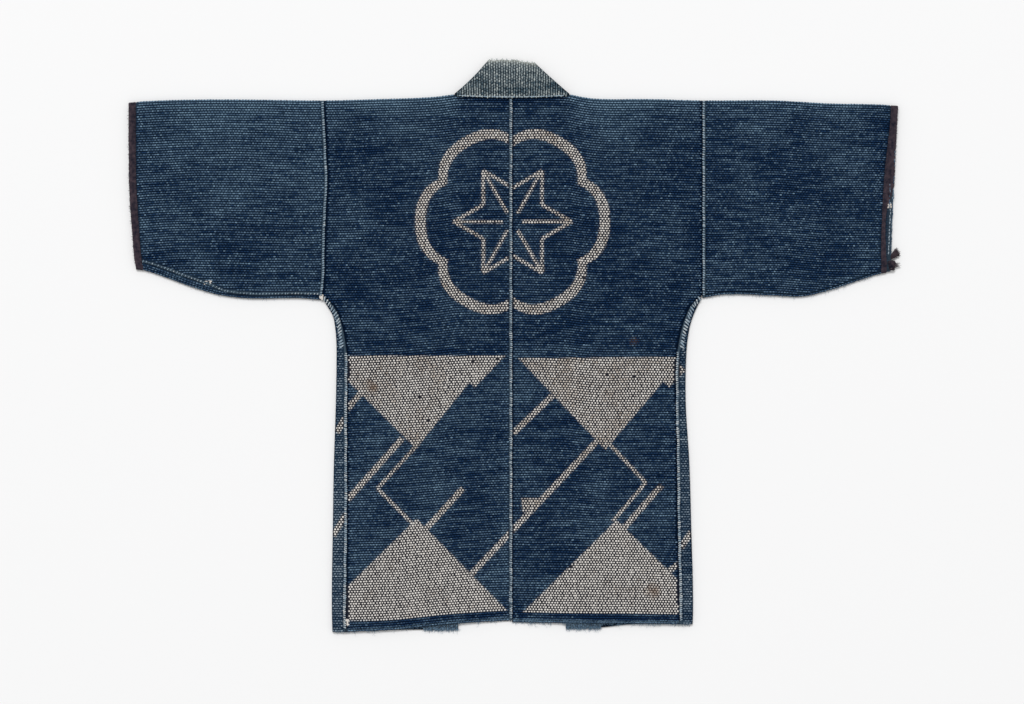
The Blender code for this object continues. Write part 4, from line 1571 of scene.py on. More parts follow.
def vary(rng, pale):
    """A size for each stitch. pale is 1 for a cream one."""
    size = mix(np.array(BLUE_STITCH_SIZE), np.array(STITCH_SIZE), pale[:, None])
    return size * (1.0 + rng.normal(0.0, 1.0, size.shape) * SIZE_SPREAD)


def stitch_values(middles, rng, values_at):
    values = values_at(middles)
    chance = rng.normal(0.0, CHANCE_SPREAD, len(middles))
    chance += BRIGHT_GAIN * (rng.random(len(middles)) < BRIGHT)
    lower = middles[:, 1] < LOWER_BORDER
    values["chance"] = chance + LOWER_GAIN * lower * values.get("pale", 0.0)
    return values


def pattern_values(middles):
    pale = (paleness(middles[:, 0], middles[:, 1]) < 0.0).astype(float)
    return {"pale": pale, "rub": wear_and_painted_shade(middles)}


def tilt(along, rng, degrees):
    """Turns each stitch a little in the plane of the cloth."""
    turn = np.radians(rng.normal(0.0, degrees, len(along)))
    turned = along.copy()
    turned[:, 0] = along[:, 0] * np.cos(turn) - along[:, 1] * np.sin(turn)
    turned[:, 1] = along[:, 0] * np.sin(turn) + along[:, 1] * np.cos(turn)
    return turned


def quilting(part, side, placed, degrees=ROW_TILT):
    """The stitches of one part, from along_rows' answer."""
    middles, along, upright, rng = placed
    values = stitch_values(middles, rng, pattern_values)
    along = tilt(along, rng, degrees)
    sizes = vary(rng, values["pale"])
    name = f"quilting_{part}_{side}"
    return stitches(name, middles, along, upright, sizes, values, thread[part])


print("bright stitches:", BRIGHT, "of all")

# %% The quilting of the body
def body_quilting(side):
    _, outer = bodies[side]
    clear = (7.0 if side == "left" else 4.0, 2.6)
    placed = along_rows(outer, range(1, BACK_ROWS, 2), SIDES[side], clear, seed=11)
    return quilting("body", side, placed)


body_stitches = {side: body_quilting(side) for side in SIDES}
tell_stitches(body_stitches.values())

# %% The quilting of the sleeves, clear of the underarm seam and the tape
UNDERARM_CLEAR = {"left": 6.5, "right": 1.5}
TAPE_CLEAR = 1.9


def sleeve_quilting(side):
    _, outer, back_rows = sleeves[side]
    clear = (7.0, TAPE_WIDTH)
    *places, rng = along_rows(outer, range(1, back_rows, 2), SIDES[side], clear, seed=23)
    middles = places[0]
    reach = np.abs(middles[:, 0] - SEAM_X)
    keep = middles[:, 1] > underarm_seam(side, reach) + UNDERARM_CLEAR[side]
    slip = read(TAPE_SLIP, "inner", middles[:, 1]) * (side == "right")
    end = read(CUFF, side, middles[:, 1]) - TAPE_WIDTH - TAPE_COVER - slip - TAPE_CLEAR
    keep &= reach < end
    return quilting("sleeve", side, (*(part[keep] for part in places), rng))


sleeve_stitches = {side: sleeve_quilting(side) for side in SIDES}
tell_stitches(sleeve_stitches.values())

# %% The rows that show along the folds: over the shoulders and under the arms
FOLD_ROWS = (2, 5)  # steps round the fold, of FOLD_STEPS
BAND_ROWS = {"left": (1.6, 5.2, 8.8), "right": (1.6,)}  # distance in from the underarm edge
BAND_END = 606.0  # the reach where the rows under the arm stop


def underarm_row(side, away, rng):
    """Stitches on one row along the lower edge, this far in from it."""
    reach = np.arange(SLEEVE_SEAM + 6 + away, BAND_END, STITCH_SPACING)
    reach = reach + rng.normal(0.0, 0.3, len(reach))
    reach = reach[away < read(UNDERARM_WRAP, side, reach) - 0.8]
    y = read(UNDERARM, side, reach) + away
    climb = (read(UNDERARM, side, reach + 1) - read(UNDERARM, side, reach - 1)) / 2
    radius = FULL / 2
    lean = max(radius - away, 0.0) / radius
    rise = math.sqrt(1 - lean * lean)
    middles = spots(on_side(side, reach), y, radius + radius * rise)
    along = spots(SIDES[side], climb, 0.0)
    return middles, along, np.tile((0.0, -lean, rise), (len(y), 1)), rng


def fold_quilting(side):
    _, outer = bodies[side]
    _, first_front = body_columns(side)
    rows = [BACK_ROWS + step for step in FOLD_ROWS]
    shoulder = along_rows(outer[:, first_front:], rows, SIDES[side], (2.0, 3.0), seed=13)
    _, outer, back_rows = sleeves[side]
    rows = [back_rows + step for step in FOLD_ROWS]
    clear = (7.5, TAPE_WIDTH + TAPE_COVER + 2.5)
    top = along_rows(outer, rows, SIDES[side], clear, seed=17)
    rng = top[3]
    parts = [shoulder, top, *(underarm_row(side, away, rng) for away in BAND_ROWS[side])]
    middles, along, upright = (np.concatenate([part[n] for part in parts]) for n in range(3))
    values = stitch_values(middles, rng, pattern_values)
    sizes = vary(rng, values["pale"])
    along = tilt(along, rng, ROW_TILT)
    name = f"quilting_folds_{side}"
    return stitches(name, middles, along, upright, sizes, values, thread["sleeve"])


fold_stitches = {side: fold_quilting(side) for side in SIDES}
tell_stitches(fold_stitches.values())

# %% The quilting of the gussets, short rows across the strip
GUSSET_STITCH_COLUMNS = GUSSET_FACE_COLUMNS + FOLD_STEPS // 2
GUSSET_FIRST_ROW = 13
GUSSET_TILT = 6.0


def gusset_quilting(side):
    _, outer = gussets[side]
    upper = outer[:, :GUSSET_STITCH_COLUMNS]
    rows = range(GUSSET_FIRST_ROW, GUSSET_ROWS, 2)
    placed = along_rows(upper, rows, -SIDES[side], (7.5, 1.0), seed=37)
    return quilting("gusset", side, placed, GUSSET_TILT)


gusset_stitches = {side: gusset_quilting(side) for side in SIDES}
tell_stitches(gusset_stitches.values())

# %% The collar's upper face behind the neck, and over its mitre folds
def collar_top(x, y):
    reach = np.abs(x - SEAM_X)
    share = up_collar(y)
    _, _, radius, away = mitre_line(share)
    across = np.clip(reach / mix(NECK_BASE_REACH, NECK_TOP_REACH, share), 0.0, 1.0)
    level = collar_lift(share) - BAND_SAG * share * (1 - across**2) + BAND_THICK
    within = (NECK_BASE_REACH - reach) * away[0] + (NECK_BASE_Y - y) * away[1]
    short = np.maximum(radius - within, 0.0)
    rounded = radius + np.sqrt(np.maximum(radius**2 - short**2, 0.0))
    return np.minimum(level, rounded)


def tilt_of_top(x, y, step=0.4):
    """How steeply the collar's face rises in X, and how steeply in Y."""
    in_x = (collar_top(x + step, y) - collar_top(x - step, y)) / (2 * step)
    in_y = (collar_top(x, y + step) - collar_top(x, y - step)) / (2 * step)
    return in_x, in_y


print("the collar's face at the neck:", float(collar_top(SEAM_X, NECK_BASE_Y)))

# %% The quilting of the collar, in upright rows that fan out
COLLAR_ROWS_REACH = 88.0  # the outermost row, from the centre seam
COLLAR_STITCH = (1.1, 1.1, 1.0)  # how much larger a stitch is here, each way


def collar_places():
    rows = []
    for row, x in enumerate(np.arange(-COLLAR_ROWS_REACH, COLLAR_ROWS_REACH + 0.1, COLLAR_PITCH)):
        across = abs(x) / NECK_BASE_REACH
        low = neck_base(across) + 1.0
        up_mitre = (NECK_BASE_REACH - abs(x)) / (NECK_BASE_REACH - NECK_TOP_REACH)
        mitre = NECK_BASE_Y + up_mitre * (NECK_TOP_Y - NECK_BASE_Y)
        high = min(mitre, NECK_TOP_Y + NECK_TOP_RISE * (1 - across**2)) - 2.2
        at = np.arange(low + row % 2 * STITCH_SPACING / 2, high, STITCH_SPACING)
        share = (at - low) / (NECK_TOP_Y - low)
        rows.append(np.stack([SEAM_X + x * (1 + COLLAR_FAN * share), at], 1))
    return np.concatenate(rows)


def collar_quilting():
    rng = np.random.default_rng(41)
    places = collar_places()
    x, y = (places + rng.normal(0.0, 0.22, places.shape)).T
    lean, climb = tilt_of_top(x, y)
    middles = spots(x, y, collar_top(x, y) + RIB_HEIGHT * 0.8)
    upright = unit(spots(-lean, -climb, np.ones(len(x))))
    along = tilt(spots(0.0, np.ones(len(x)), climb), rng, 4.0)
    middles[:, 1] -= neck_slump(middles[:, 0], middles[:, 1])
    values = stitch_values(middles, rng, collar_values)
    values["pale"] = 0.0 * values["pale"]
    sizes = vary(rng, values["pale"]) * COLLAR_STITCH
    return stitches("quilting_collar", middles, along, upright, sizes, values, thread["collar"])


collar_stitches = collar_quilting()
tell_stitches([collar_stitches])

# %% [markdown]
# ## Whipped seams
#
# Each seam is turned up into a small roll and whipped over with pale thread: short
# slanting stitches, close together. They are longer and thinner than the quilting.
# Each line of them follows the crest of its roll, read off the grid of its panel.

# %% Slanting stitches along a seam's roll
WHIP_SPACING = 3.3
WHIP_SIZE = (5.0, 2.2, 0.9)
WHIP_SLANT = 20.0  # degrees off square to the seam
WHIP_JITTER, WHIP_TURN = 0.4, 7.0  # how much a stitch strays, in mm and in degrees
WHIP_SIZE_SPREAD, WHIP_CHANCE = 0.13, 0.22


def whip(name, crest, slant, seed, size=WHIP_SIZE, worn=0.2, spacing=WHIP_SPACING, fall=0.0):
    """Stitches over a crest, which is a line of points along a roll.

    worn is how far they have lost their blue: more is paler, and below 0 most are
    still blue. fall is how steeply they come down towards +X.
    """
    rng = np.random.default_rng(seed)
    run = np.append(0.0, np.cumsum(np.linalg.norm(np.diff(crest, axis=0), axis=1)))
    at = np.arange(1.5, run[-1] - 1.0, spacing)
    at = at + rng.normal(0.0, WHIP_JITTER, len(at))
    middles = np.stack([np.interp(at, run, crest[:, n]) for n in range(3)], 1)
    middles[:, 0] += 0.45 * np.sin(at / 8.7 + seed) * np.sin(at / 31.0)
    ahead_x, ahead_y = (
        np.interp(at + 2, run, crest[:, n]) - np.interp(at - 2, run, crest[:, n]) for n in (0, 1)
    )
    turn = np.radians(90.0 - slant + rng.normal(0.0, WHIP_TURN, len(at)))
    along_x = ahead_x * np.cos(turn) - ahead_y * np.sin(turn)
    along_y = ahead_x * np.sin(turn) + ahead_y * np.cos(turn)
    along = spots(along_x, along_y, -fall * along_x)
    sizes = np.array(size) * (1.0 + rng.normal(0.0, WHIP_SIZE_SPREAD, (len(at), 3)))
    values = {"chance": rng.normal(worn, WHIP_CHANCE, len(at))}
    return stitches(name, middles, along, upwards(len(at)), sizes, values, seam_thread)


print("a whipping stitch every", WHIP_SPACING, "mm")

# %% The whipped seams of the back, the sleeves and the sides
CREST_COLUMN = 2  # the middle of a roll, on the body and on the sleeves
SLEEVE_WHIP_SIZE = (4.3, 2.1, 0.9)
SLEEVE_SEAM_WORN = {"left": -0.42, "right": -0.2}
ARMPIT_WHIP_SIZE = (9.0, 2.3, 1.0)
ARMPIT_SLANT = 30.0
ARMPIT_ROWS = 44  # of a gusset's grid, from its top to where the side runs straight
whips = [whip(
    "whipped_centre_seam",
    bodies["left"][1][2:BACK_ROWS:2, CREST_COLUMN],
    WHIP_SLANT,
    seed=51,
    worn=0.05,
)]
for side, sign in SIDES.items():
    _, outer, back_rows = sleeves[side]
    whips.append(whip(
        f"whipped_sleeve_seam_{side}",
        outer[8:back_rows + FOLD_STEPS // 2, CREST_COLUMN],
        WHIP_SLANT * sign,
        seed=53,
        size=SLEEVE_WHIP_SIZE,
        worn=SLEEVE_SEAM_WORN[side],
        spacing=4.2,
    ))
    _, outer = gussets[side]
    crest = (outer[:ARMPIT_ROWS:2, 1] + outer[:ARMPIT_ROWS:2, GUSSET_FACE_COLUMNS]) / 2
    crest[:, 2] = FULL + RIDGE_HEIGHT / 2 + 0.5
    whips.append(whip(
        f"whipped_armpit_{side}",
        crest,
        ARMPIT_SLANT * sign,
        seed=59,
        size=ARMPIT_WHIP_SIZE,
        worn=-0.05,
        spacing=5.0,
        fall=0.3 * sign,
    ))
    crest = outer[ARMPIT_ROWS:GUSSET_ROWS:2, 1]
    whips.append(whip(f"whipped_side_seam_{side}", crest, -WHIP_SLANT * sign, seed=57, worn=0.05))
print("whipped seams:", len(whips))

# %% The rolled seam under the left arm
def underarm_crest(side):
    reach = np.linspace(SLEEVE_SEAM + 6, 604.0, 90)
    y = underarm_seam(side, reach) + RIDGE_WIDTH / 2
    z = np.full_like(reach, FULL + RIDGE_HEIGHT)
    return spots(on_side(side, reach), y, z)


whips.append(whip(
    "whipped_underarm_left",
    underarm_crest("left"),
    WHIP_SLANT,
    seed=61,
    size=(3.6, 1.7, 0.8),
    worn=-0.32,
    spacing=5.2,
))
tell_stitches(whips[-1:])

# %% The running stitch along the collar's lower edge
def collar_base_crest():
    x = np.linspace(-86.0, 86.0, 87)
    y = np.array([neck_base(abs(at) / NECK_BASE_REACH) for at in x]) + 1.0
    z = collar_top(SEAM_X + x, y) + RIB_HEIGHT
    return spots(SEAM_X + x, y, z)


ALONG_SEAM = 90.0  # degrees off square to it
whips.append(whip(
    "stitched_collar_base",
    collar_base_crest(),
    ALONG_SEAM,
    seed=67,
    size=(4.4, 1.8, 0.8),
    worn=-0.1,
    spacing=4.4,
))
tell_stitches(whips[-1:])

# %% [markdown]
# ## The cuff tapes
#
# A dark brown tape is folded over the raw end of each sleeve and sewn through, once to
# a row of quilting, so its edge bulges between the stitches. On the right it has worn:
# for a hand's breadth the cloth's own edge shows outside it, and it ends in a tuft.

# %% The section of a tape
TAPE_STATIONS = 168  # points along the face
UNDER_STATIONS = 24  # and along the hidden side
TAPE_BULGE, BULGE_PITCH = 0.6, 2.1  # mm between two stitches, and stations from one to the next


def tape_profile(turn):
    """How far in from the cuff, then the loop's radius and level, round the section."""
    inward = TAPE_COVER + TAPE_WIDTH - GAP
    middle = inward / 2
    return (
        (inward, turn - 0.25, turn),
        (inward - 0.8, turn + 0.05, turn),
        (middle, turn + 0.1, turn),
        (1.2, turn + 0.05, turn),
        (0.1, turn - 0.6, turn),
        (0.0, AIR / 2 + 0.4, FULL / 2),
        (TAPE, AIR / 2, FULL / 2),
        (TAPE, turn - TAPE, turn),
        (inward, turn - TAPE, turn),
    )


print("points round the section of a tape:", len(tape_profile(FULL / 2)))

# %% One tape, as a closed band round the sleeve's end
def cuff_binding(side):
    rng = np.random.default_rng(71)
    turn = (FULL + TAPE_COVER) / 2
    profile = tape_profile(turn)
    upper = [(n / TAPE_STATIONS, 0.0, 1.0) for n in range(TAPE_STATIONS)]
    angles = np.arange(FOLD_STEPS) * math.pi / FOLD_STEPS
    fold = [(1.0, math.sin(a), math.cos(a)) for a in angles]
    under = [(1 - n / UNDER_STATIONS, 0.0, -1.0) for n in range(UNDER_STATIONS)]
    foot = [(0.0, -math.sin(a), -math.cos(a)) for a in angles]
    stations = np.array([*upper, *fold, *under, *foot])
    share, out, up = stations.T
    count = len(stations)
    bulge = TAPE_BULGE * np.abs(np.sin(np.arange(count) * math.pi / BULGE_PITCH)) * (up > 0)
    bulge = np.maximum(bulge + rng.normal(0.0, 0.3, count) * (up > 0), 0.0)
    uneven = np.convolve(rng.normal(0.0, 0.5, count + 8), np.ones(9) / 3, "valid") * 0.5
    uneven = uneven + rng.normal(0.0, 0.4, count) * (up > 0)
    points, rub = [], []
    for n, (inset, radius, level) in enumerate(profile):
        edge = uneven if n < 2 else (-bulge if 2 < n < 6 else 0.0)

        def reach_at(y):
            slip = 0.0
            if side == "right":
                slips = (read(TAPE_SLIP, edge_of, y) for edge_of in ("outer", "inner"))
                slip = mix(*slips, inset / profile[0][0])
            return read(CUFF, side, y) - inset - slip + edge

        reach, y = settle(
            reach_at,
            lambda reach: mix(
                read(UNDERARM, side, reach) + turn, read(SHOULDER, side, reach) - turn, share
            ),
            mix(LOWER_EDGE, SHOULDER_Y, share),
        )
        z = level + (radius + (0.25 * bulge if n < 5 else 0.0)) * up
        points.append(spots(on_side(side, reach), y + radius * out, z))
        rub.append(np.full(count, 0.25 if n in (0, 3, 4) else 0.0))
    ring = len(profile)
    points = np.stack(points, 1).reshape(-1, 3)
    faces = []
    for n in range(count):
        here, before = n * ring, (n - 1) % count * ring
        for m in range(ring):
            after = (m + 1) % ring
            faces.append([before + m, before + after, here + after, here + m])
    values = {"rub": np.stack(rub, 1).reshape(-1)}
    return turned_out(new_piece(f"bound_cuff_{side}", points, faces, cuff_tape, values))


tapes = {side: cuff_binding(side) for side in SIDES}
tell(tapes.values())

# %% Where the right tape has slipped: rows on the bare edge, and threads on the tape
BARE_INNER_ROW = 5.6  # how far in from the cuff the paler of the bare rows runs


def bare_cuff_rows():
    rng = np.random.default_rng(73)
    lines = [  # heights up the cuff, how far in from it, and how far over the cloth
        (np.arange(152.0, 236.0, 5.4), BARE_INNER_ROW, 0.0),
        (np.arange(150.0, 256.0, 4.4), 2.0, 0.0),
        (rng.uniform(226.0, BARE_TOP, 12), 7.0, TAPE_COVER),
        (rng.uniform(240.0, 320.0, 16), 1.6, TAPE_COVER),
    ]
    y, away, level = (np.concatenate(part) for part in zip(*[
        (y, np.full(len(y), away), np.full(len(y), level)) for y, away, level in lines
    ]))
    inner = away == BARE_INNER_ROW
    y = y + rng.normal(0.0, 0.5, len(y))
    x = SEAM_X + read(CUFF, "right", y) - away + rng.normal(0.0, 0.4, len(y))
    middles = spots(x, y, FULL + 0.1 + level)
    along = tilt(np.tile((0.0, 1.0, 0.0), (len(y), 1)), rng, 8.0)
    sizes = np.array((4.8, 1.5, 0.8)) * rng.uniform(0.8, 1.15, (len(y), 3))
    values = {
        "pale": np.zeros(len(y)),
        "rub": np.where(inner, 0.75, np.where(level > 0, -0.2, -0.4)),
        "chance": rng.normal(0.0, 0.25, len(y)),
    }
    rows = (middles, along, upwards(len(y)), sizes, values)
    return stitches("bare_cuff_rows", *rows, thread["gusset"])


bare_rows = bare_cuff_rows()
tell_stitches([bare_rows])

# %% The knot at the right cuff, and the beige knots
KNOT_PLACE, KNOT_SIZE = (615.5, 132.5, 6.4), (6.8, 9.0, 3.0)
KNOT_STRANDS = 90


def cuff_knot():
    """A lump of wound tape and thread: short thick strands, each its own way."""
    rng = np.random.default_rng(79)
    ways = unit(rng.normal(0.0, 1.0, (KNOT_STRANDS, 3)))
    ways[:, 2] = np.abs(ways[:, 2])
    middles = KNOT_PLACE + ways * KNOT_SIZE * rng.uniform(0.55, 1.0, (KNOT_STRANDS, 1))
    along = np.cross(ways, rng.normal(0.0, 1.0, (KNOT_STRANDS, 3)))
    sizes = np.array((6.0, 2.2, 1.2)) * rng.uniform(0.6, 1.2, (KNOT_STRANDS, 3))
    values = {"rub": rng.uniform(-0.4, 0.5, KNOT_STRANDS)}
    return stitches("cuff_knot", middles, along, ways, sizes, values, cuff_tape)


BEIGE_KNOTS = (  # x from the seam, y, half length, half width
    (-495.5, 104.0, 6.5, 3.2),
    (-310.5, 80.5, 2.6, 4.2),
    (614.0, 229.0, 3.0, 3.0),
    (-270.0, -446.0, 5.0, 2.0),
    (-267.5, -449.0, 1.8, 5.0),
)


BEIGE_STRANDS = 26  # to a knot
BEIGE_MOUND = 0.6  # how much lower a knot is at its rim


def beige_knots():
    """Where a seam's thread is knotted off in worn, undyed cotton."""
    rng = np.random.default_rng(77)
    places = np.repeat(np.array(BEIGE_KNOTS), BEIGE_STRANDS, axis=0)
    count = len(places)
    x, y = places[:, 0], places[:, 1]
    spread = rng.uniform(-1.0, 1.0, (count, 2)) * places[:, 2:]
    rim = np.sum((spread / places[:, 2:]) ** 2, 1)
    z = np.full(count, FULL + RIDGE_HEIGHT * 0.6) - BEIGE_MOUND * rim
    middles = np.column_stack([SEAM_X + x + spread[:, 0], y + spread[:, 1], z])
    turn = rng.uniform(0.0, math.pi, count)
    along = spots(np.cos(turn), np.sin(turn), 0.0)
    sizes = np.array((3.8, 1.3, 1.0)) * rng.uniform(0.7, 1.2, (count, 3))
    ones = np.ones(count)
    values = {"pale": ones, "rub": ones, "chance": rng.normal(0.0, 0.3, count)}
    rows = (middles, along, upwards(count), sizes, values)
    return stitches("beige_knots", *rows, thread["sleeve"])


knot = cuff_knot()
beige = beige_knots()
tell_stitches([knot, beige])

# %% [markdown]
# ## Frayed edges
#
# The hem is worn through at its fold, and its threads have worked loose; so have those
# under the sleeves, most of all on the right. Blender's hair would do, but it can't be
# exported as a mesh. Each loose end is a thin three-sided tube instead, bent at random.

# %% Loose thread ends
FIBRE_STEPS = 4
FIBRE_SIDES = 3
FIBRE_TAPER = 0.75  # how much thinner a tip is than its root


def fibres(name, roots, ways, lengths, thick, seed, material, curl=0.5):
    """Thin curved tubes from their roots, tapering to their tips."""
    rng = np.random.default_rng(seed)
    count = len(roots)
    t = np.linspace(0.0, 1.0, FIBRE_STEPS + 1)[None, :, None]
    ways = unit(ways)
    aside = spots(-ways[:, 1], ways[:, 0], 0.0)
    long = lengths[:, None, None]
    bend = rng.normal(0.0, curl, (count, 1, 1)) * long
    bend_back = rng.normal(0.0, curl / 2, (count, 1, 1)) * long
    path = roots[:, None] + ways[:, None] * long * t
    path = path + aside[:, None] * (bend * t**2 + bend_back * np.sin(3.0 * t) * t)
    drop = np.maximum(roots[:, 2] - 0.5, 0.0)[:, None] * t[..., 0] ** 1.5
    path[..., 2] = np.maximum(roots[:, 2:3] - drop * rng.uniform(0.2, 1.0, (count, 1)), 0.3)
    ring = []
    for corner in range(FIBRE_SIDES):
        turn = 2 * math.pi * corner / FIBRE_SIDES
        wide = thick * (1.0 - FIBRE_TAPER * t)
        ring.append(
            path
            + aside[:, None] * wide * math.cos(turn)
            + np.array([0.0, 0.0, 1.0]) * wide * math.sin(turn)
        )
    points = np.stack(ring, 2).reshape(-1, 3)
    each = FIBRE_SIDES * (FIBRE_STEPS + 1)
    faces = []
    for start in range(0, count * each, each):
        for low in range(start, start + FIBRE_SIDES * FIBRE_STEPS, FIBRE_SIDES):
            high = low + FIBRE_SIDES
            for corner in range(FIBRE_SIDES):
                after = (corner + 1) % FIBRE_SIDES
                faces.append([low + corner, low + after, high + after, high + corner])
    values = {
        "chance": np.repeat(rng.normal(0.15, 0.30, count), each),
        "rub": np.full(count * each, 0.6),
        "pale": np.zeros(count * each),
    }
    return new_piece(name, points, faces, material, values)


def hanging(rng, count, spread):
    """Ways down over an edge, some more to the left or the right."""
    return spots(rng.normal(0.0, spread, count), -np.ones(count), np.zeros(count))


print("a loose end has", FIBRE_STEPS, "bends")

# %% Frayed cloth: the hem and the sleeves' lower edge
HEM_LONGEST = 11.0
HEM_LENGTH = {"left": 3.4, "right": 5.0}


def hem_fray(side, count, seed):
    rng = np.random.default_rng(seed)
    reach = rng.uniform(2.0, 288.0, count)
    bunch = 0.5 + 0.5 * np.sin(reach / 6.3 + 3 * SIDES[side]) * np.sin(reach / 17.0)
    up = rng.uniform(-0.2, 6.0, count)
    y = read(BACK_HEM, side, reach) + up
    on_top = up > 1.5
    z = bed(side, reach, y, 0.0) + np.where(on_top, WALL + 1.1, rng.uniform(0.4, WALL, count))
    roots = spots(on_side(side, reach), y, z)
    ways = hanging(rng, count, 0.7)
    lengths = rng.gamma(2.0, HEM_LENGTH[side] / 4, count) * (0.5 + bunch)
    lengths = np.minimum(np.where(on_top, np.minimum(lengths, up), lengths), HEM_LONGEST)
    return fibres(f"frayed_hem_{side}", roots, ways, lengths, 0.34, seed, thread["body"])


def sleeve_fray(side, count, seed):
    rng = np.random.default_rng(seed)
    reach = rng.uniform(SLEEVE_SEAM + 8, 600.0, count)
    y = read(UNDERARM, side, reach) + rng.uniform(-0.2, 4.5, count)
    z = rng.uniform(2.0, FULL, count)
    roots = spots(on_side(side, reach), y, z)
    ways = hanging(rng, count, 0.8)
    lengths = np.minimum(rng.gamma(2.0, 1.3, count), 7.0)
    return fibres(f"frayed_sleeve_{side}", roots, ways, lengths, 0.26, seed, thread["sleeve"])


frays = [
    hem_fray("left", 2600, seed=81),
    hem_fray("right", 3600, seed=83),
    sleeve_fray("left", 200, seed=87),
    sleeve_fray("right", 700, seed=89),
]
tell(frays)

# %% Frayed tape: the tuft at the right cuff, and short ends at both
def cuff_tuft(count, seed):
    """Dark ends of the broken tape, standing out past the right cuff."""
    rng = np.random.default_rng(seed)
    low = rng.random(count) < 0.08
    y = np.where(low, rng.uniform(130.0, 135.0, count), rng.uniform(142.0, 150.0, count))
    x = SEAM_X + read(CUFF, "right", y) - rng.uniform(0.0, 2.0, count)
    roots = spots(x, y, rng.uniform(4.0, 8.0, count))
    ways = spots(np.ones(count), rng.normal(0.62, 0.16, count) - 0.7 * low, 0.0)
    lengths = np.clip(rng.normal(12.5, 2.5, count), 4.0, 15.5)
    return fibres("cuff_tuft", roots, ways, lengths, 0.95, seed, cuff_tape, curl=0.22)


def tape_fray(side, count, seed):
    """Short ends that stand out of both edges of a tape."""
    rng = np.random.default_rng(seed)
    outside = rng.random(count) < 0.6
    y = rng.uniform(130.0, read(SHOULDER, side, 614.0) - 5.0, count)
    slipped = np.where(outside, read(TAPE_SLIP, "outer", y), read(TAPE_SLIP, "inner", y))
    away = np.where(outside, 0.6, TAPE_COVER + TAPE_WIDTH - 0.8) + slipped * (side == "right")
    z = np.where(outside, rng.uniform(2.0, FULL, count), FULL + TAPE_COVER + 0.2)
    roots = spots(on_side(side, read(CUFF, side, y) - away), y, z)
    out = np.where(outside, 1.0, -1.0) * SIDES[side]
    ways = spots(out, rng.normal(0.0, 0.8, count), 0.0)
    lengths = np.minimum(rng.gamma(2.0, 0.8, count), 3.2)
    return fibres(f"frayed_cuff_{side}", roots, ways, lengths, 0.4, seed, cuff_tape)


tape_frays = [
    cuff_tuft(150, seed=93),
    tape_fray("left", 420, seed=95),
    tape_fray("right", 420, seed=97),
]
tell(tape_frays)

# %% The collar's two ends, that peep out under the hem
def collar_fray(count, seed):
    rng = np.random.default_rng(seed)
    side = np.where(np.arange(count) % 2 == 0, "left", "right")
    sign = np.where(side == "left", -1.0, 1.0)
    low = np.where(side == "left", BAND_END_Y["left"], BAND_END_Y["right"])
    x = SEAM_X + sign * rng.uniform(band_inner(low), band_outer(low))
    up = rng.uniform(-0.5, 10.0, count) * rng.uniform(0.0, 1.0, count)
    on_top = up > 1.0
    z = np.where(on_top, BAND_THICK + 1.0, rng.uniform(0.5, 3.5, count))
    roots = spots(x, low + up, z)
    ways = hanging(rng, count, 0.9)
    lengths = np.minimum(rng.gamma(2.0, 1.6, count), 7.0)
    return fibres("frayed_collar_ends", roots, ways, lengths, 0.42, seed, thread["body"])


END_PITCH = 3.8  # from row to row


def collar_end_rows():
    """The lengthwise rows on the two ends."""
    rng = np.random.default_rng(99)
    places = []
    for side in SIDES:
        low = BAND_END_Y[side]
        for n, reach in enumerate(np.arange(band_inner(low) + 2.0, band_outer(low) - 1.0, END_PITCH)):
            at = np.arange(low + 1.5 + n % 2 * 2.0, low + 16.0, 4.4)
            places.append(np.stack([on_side(side, reach) + 0 * at, at], 1))
    places = np.concatenate(places)
    places = places + rng.normal(0.0, 0.35, places.shape)
    middles = np.column_stack([places, np.full(len(places), BAND_THICK + 0.05)])
    along = tilt(np.tile((0.0, 1.0, 0.0), (len(places), 1)), rng, 14.0)
    none = np.zeros(len(places))
    values = {"pale": none, "rub": none + 0.3, "chance": rng.normal(0.1, 0.35, len(places))}
    rows = (middles, along, upwards(len(places)), vary(rng, none), values)
    return stitches("quilting_collar_ends", *rows, thread["body"])


collar_ends = [collar_fray(900, seed=91), collar_end_rows()]
tell(collar_ends)

# %% [markdown]
# ## Everything rides on the coat
#
# The coat has no moving parts, so every piece belongs to one body. Each cloth shell
# stands for the plain panel of the imported model, which is hidden. Stitches and frayed
# ends belong to the same body.

# %% Say what each piece stands for
def settle_in(piece, slot, *nodes):
    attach(piece, "root")
    if nodes:
        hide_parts(*nodes)


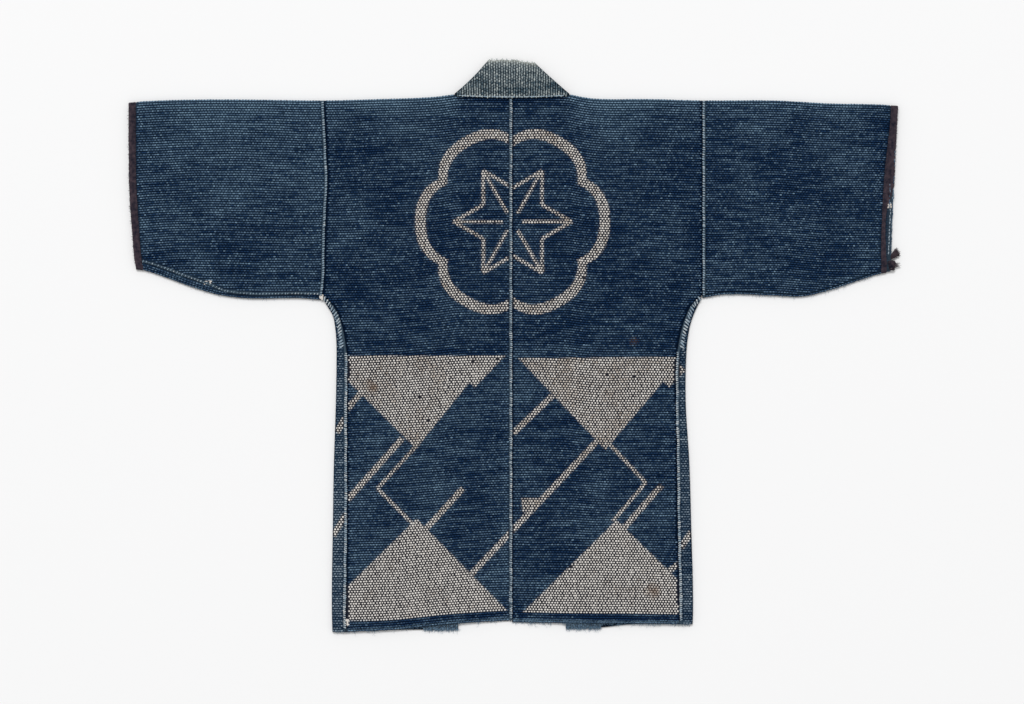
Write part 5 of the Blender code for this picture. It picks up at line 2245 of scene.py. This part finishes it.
for side in SIDES:
    settle_in(bodies[side][0], "indigo_body", f"body_{side}")
    settle_in(body_stitches[side], "indigo_body")
    settle_in(sleeves[side][0], "indigo_sleeve", f"sleeve_{side}")
    settle_in(sleeve_stitches[side], "indigo_sleeve")
    settle_in(gussets[side][0], "indigo_gusset", f"side_gusset_{side}")
    settle_in(gusset_stitches[side], "indigo_gusset")
    settle_in(fold_stitches[side], "indigo_body")
    settle_in(tapes[side], "cuff_tape", f"cuff_binding_{side}")
settle_in(collar, "collar_cloth", "collar")
settle_in(collar_stitches, "collar_cloth")
settle_in(bare_rows, "indigo_sleeve")
settle_in(knot, "cuff_tape")
settle_in(beige, "indigo_sleeve")
for piece in (*whips, *frays):
    settle_in(piece, "indigo_sleeve" if "frayed_sleeve" in piece.name else "indigo_body")
for piece in tape_frays:
    settle_in(piece, "cuff_tape")
for piece in collar_ends:
    settle_in(piece, "collar_cloth")
print("seams, frays and ends:", len(whips) + len(frays) + len(tape_frays) + len(collar_ends))

# %% [markdown]
# ## The table and the light
#
# A pale table and soft light from above and behind the collar: one wide lamp for the
# direction that models the ribs, and an even white surround that fills the shadows.
# The plain view transform keeps the white of the table white.

# %% The table
TABLE_SIZE = 16000.0
TABLE_LEVEL = -0.4  # just under the coat
TABLE_WHITE = (0.836, 0.836, 0.838, 1.0)

half = TABLE_SIZE / 2
corners = ((-half, -half), (half, -half), (half, half), (-half, half))
table_points = np.array([(x, y, TABLE_LEVEL) for x, y in corners])
table_paint = bpy.data.materials.new("pale table")
table_paint.use_nodes = True
fill(table_paint.node_tree, table_paint.node_tree.nodes["Principled BSDF"], {
    "Base Color": TABLE_WHITE,
    "Roughness": 0.9,
    "Specular IOR Level": 0.1,
})
table = new_piece("pale_table", table_points, [[0, 1, 2, 3]], table_paint)
print("table", TABLE_SIZE * MM, "m wide")

# %% Surround and lamp
SURROUND = 0.60
WHITE = (1.0, 1.0, 1.0, 1.0)
KEY_ENERGY = 5950.0
KEY_PLACE = (-2900.0, 14700.0, 26800.0)
KEY_SIZE = (14700.0, 9200.0)

surround = bpy.data.worlds.new("white surround")
surround.use_nodes = True
background = surround.node_tree.nodes["Background"]
fill(surround.node_tree, background, {"Color": WHITE, "Strength": SURROUND})
bpy.context.scene.world = surround

key_data = bpy.data.lights.new("wide lamp", "AREA")
key_data.shape = "RECTANGLE"
key_data.size, key_data.size_y = (side * MM for side in KEY_SIZE)
key_data.energy = KEY_ENERGY
key = bpy.data.objects.new("wide lamp", key_data)
key.location = Vector(KEY_PLACE) * MM
key.rotation_euler = (-key.location).to_track_quat("-Z", "Y").to_euler()
bpy.context.scene.collection.objects.link(key)
bpy.context.scene.view_settings.view_transform = "Standard"
print("lamp", round(key.location.length, 2), "m away")
